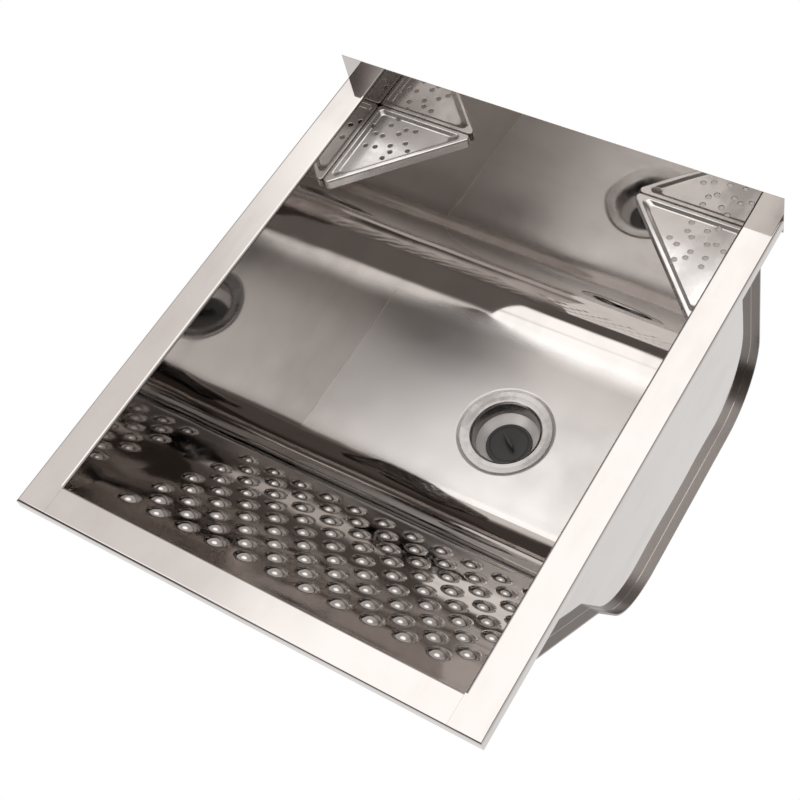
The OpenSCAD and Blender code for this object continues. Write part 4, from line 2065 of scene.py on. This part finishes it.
@dataclass(frozen=True)
class Studio:
    """Pale floor, soft light and the camera at the photograph's angle."""

    floor_level: float = -0.9
    lens: float = 66.434
    shift: Flat = (-0.0791, -0.0324)
    place: Point = (0.6216, -0.8681, 1.1685)
    turn: tuple[Point, Point, Point] = (
        (0.84957, -0.35028, 0.39437),
        (0.50312, 0.76270, -0.40640),
        (-0.15843, 0.54368, 0.82420),
    )
    sensor: float = 36.0
    floor_size: float = 30.0
    paper: Point = (0.86, 0.86, 0.86)
    room: Point = (0.13, 0.112, 0.102)
    patches: tuple[LightPatch, ...] = (
        LightPatch((0.58, 0.55, 0.53), -35.0, 25.0, (75.0, 28.0)),  # wall behind the tub
        LightPatch((0.74, 0.71, 0.69), 72.0, 5.0, (40.0, 20.0)),  # wall on the right
        LightPatch((1.80, 1.78, 1.76), -25.0, 81.5, (43.0, 36.0)),  # broad panel overhead
        LightPatch((1.75, 1.72, 1.70), -149.0, 47.5, (11.0, 6.5)),  # small panel in front
        LightPatch((1.10, 1.05, 1.02), -70.0, 47.0, (17.0, 7.0)),  # screen on the left
        LightPatch((0.28, 0.255, 0.24), 140.0, 42.0, (24.0, 16.0)),  # dim side of the camera
    )

    def build(self) -> None:
        """Builds the floor, the light and the camera."""
        self.floor()
        self.sky()
        self.camera()

    def floor(self) -> None:
        """Lays the pale floor, plain white to the camera and in the steel's reflections."""
        bpy.ops.object.select_all(action="DESELECT")
        bpy.ops.mesh.primitive_plane_add(size=self.floor_size, location=(0, 0, self.floor_level))
        floor = bpy.context.object
        floor.name = "studio_floor"
        material = bpy.data.materials.new("studio_floor")
        material.use_nodes = True
        tree = material.node_tree
        tree.nodes.clear()
        paper = add_node(tree, "ShaderNodeBsdfDiffuse")
        paper.inputs["Color"].default_value = (*self.paper, 1.0)
        white = add_node(tree, "ShaderNodeEmission")
        rays = add_node(tree, "ShaderNodeLightPath")
        seen = math_node(
            tree, "MAXIMUM", rays.outputs["Is Camera Ray"], rays.outputs["Is Glossy Ray"]
        )
        mix = add_node(tree, "ShaderNodeMixShader")
        out = add_node(tree, "ShaderNodeOutputMaterial")
        tree.links.new(seen, mix.inputs[0])
        tree.links.new(paper.outputs[0], mix.inputs[1])
        tree.links.new(white.outputs[0], mix.inputs[2])
        tree.links.new(mix.outputs[0], out.inputs[0])
        floor.data.materials.append(material)

    def sky(self) -> None:
        """Lays the soft patches of light over a dim room, which the camera sees as white."""
        world = bpy.data.worlds.new("studio_light")
        bpy.context.scene.world = world
        world.use_nodes = True
        tree = world.node_tree
        light: Point | bpy.types.NodeSocket = self.room
        for patch in self.patches:
            light = self.lay(tree, light, patch)
        rays = add_node(tree, "ShaderNodeLightPath")
        paper = add_node(tree, "ShaderNodeMix", data_type="RGBA")
        tree.links.new(rays.outputs["Is Camera Ray"], paper.inputs["Factor"])
        tree.links.new(light, paper.inputs[6])
        paper.inputs[7].default_value = (1.0, 1.0, 1.0, 1.0)
        tree.links.new(paper.outputs[2], tree.nodes["Background"].inputs["Color"])

    def lay(
        self, tree: bpy.types.NodeTree, under: Point | bpy.types.NodeSocket, patch: LightPatch
    ) -> bpy.types.NodeSocket:
        """Lays a patch of light over what is there.

        Args:
            tree: The world's node tree.
            under: Colour or socket under the patch.
            patch: The patch.

        Returns:
            The colour socket.
        """
        place = add_node(tree, "ShaderNodeTexCoord")
        dot = add_node(tree, "ShaderNodeVectorMath", operation="DOT_PRODUCT")
        tree.links.new(place.outputs["Generated"], dot.inputs[0])
        dot.inputs[1].default_value = patch.way()
        mask = range_node(tree, dot.outputs["Value"], patch.reach(), FULL)
        mix = add_node(tree, "ShaderNodeMix", data_type="RGBA")
        tree.links.new(mask, mix.inputs["Factor"])
        if isinstance(under, bpy.types.NodeSocket):
            tree.links.new(under, mix.inputs[6])
        else:
            mix.inputs[6].default_value = (*under, 1.0)
        mix.inputs[7].default_value = (*patch.colour, 1.0)
        return mix.outputs[2]

    def camera(self) -> None:
        """Puts the camera where the photograph was taken from."""
        data = bpy.data.cameras.new("camera")
        camera = bpy.data.objects.new("camera", data)
        bpy.context.scene.collection.objects.link(camera)
        data.lens = self.lens
        data.sensor_width = self.sensor
        data.shift_x, data.shift_y = self.shift
        camera.matrix_world = Matrix.Translation(self.place) @ Matrix(self.turn).to_4x4()
        bpy.context.scene.camera = camera
        bpy.context.scene.view_settings.view_transform = "Standard"


def settle(piece: bpy.types.Object, node: str, body: str, slot: Slot) -> None:
    """Lets a piece ride on its body in place of its CAD node, and reports it.

    Args:
        piece: The finished piece.
        node: The CAD node that it stands for.
        body: The body that it rides on.
        slot: Its material slot; not used.
    """
    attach(piece, body)
    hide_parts(node)
    log.info("%s stands for %s, %d faces", piece.name, node, len(piece.data.polygons))


def main() -> None:
    """Builds the tub, dresses it and sets up the studio."""
    logging.basicConfig(level=logging.INFO, format="%(name)s: %(message)s")
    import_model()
    palette = Palette()
    palette.build()
    view = SideView()

    settle(WrapSheet(view, palette).build(), "tub_wrap", "tub", Slot.MIRROR)
    right, left = SidePanels(view, palette).build()
    settle(right, "right_side_panel", "tub", Slot.MIRROR)
    settle(left, "left_side_panel", "tub", Slot.MIRROR)
    left_dish, right_dish = SoapDishes(view, palette).build()
    settle(left_dish, "left_soap_dish", "tub", Slot.SATIN)
    settle(right_dish, "right_soap_dish", "tub", Slot.SATIN)
    for piece, node, body, slot in WasteFitting(view, palette).build():
        settle(piece, node, body, slot)

    Studio().build()


if __name__ == "__main__":
    main()
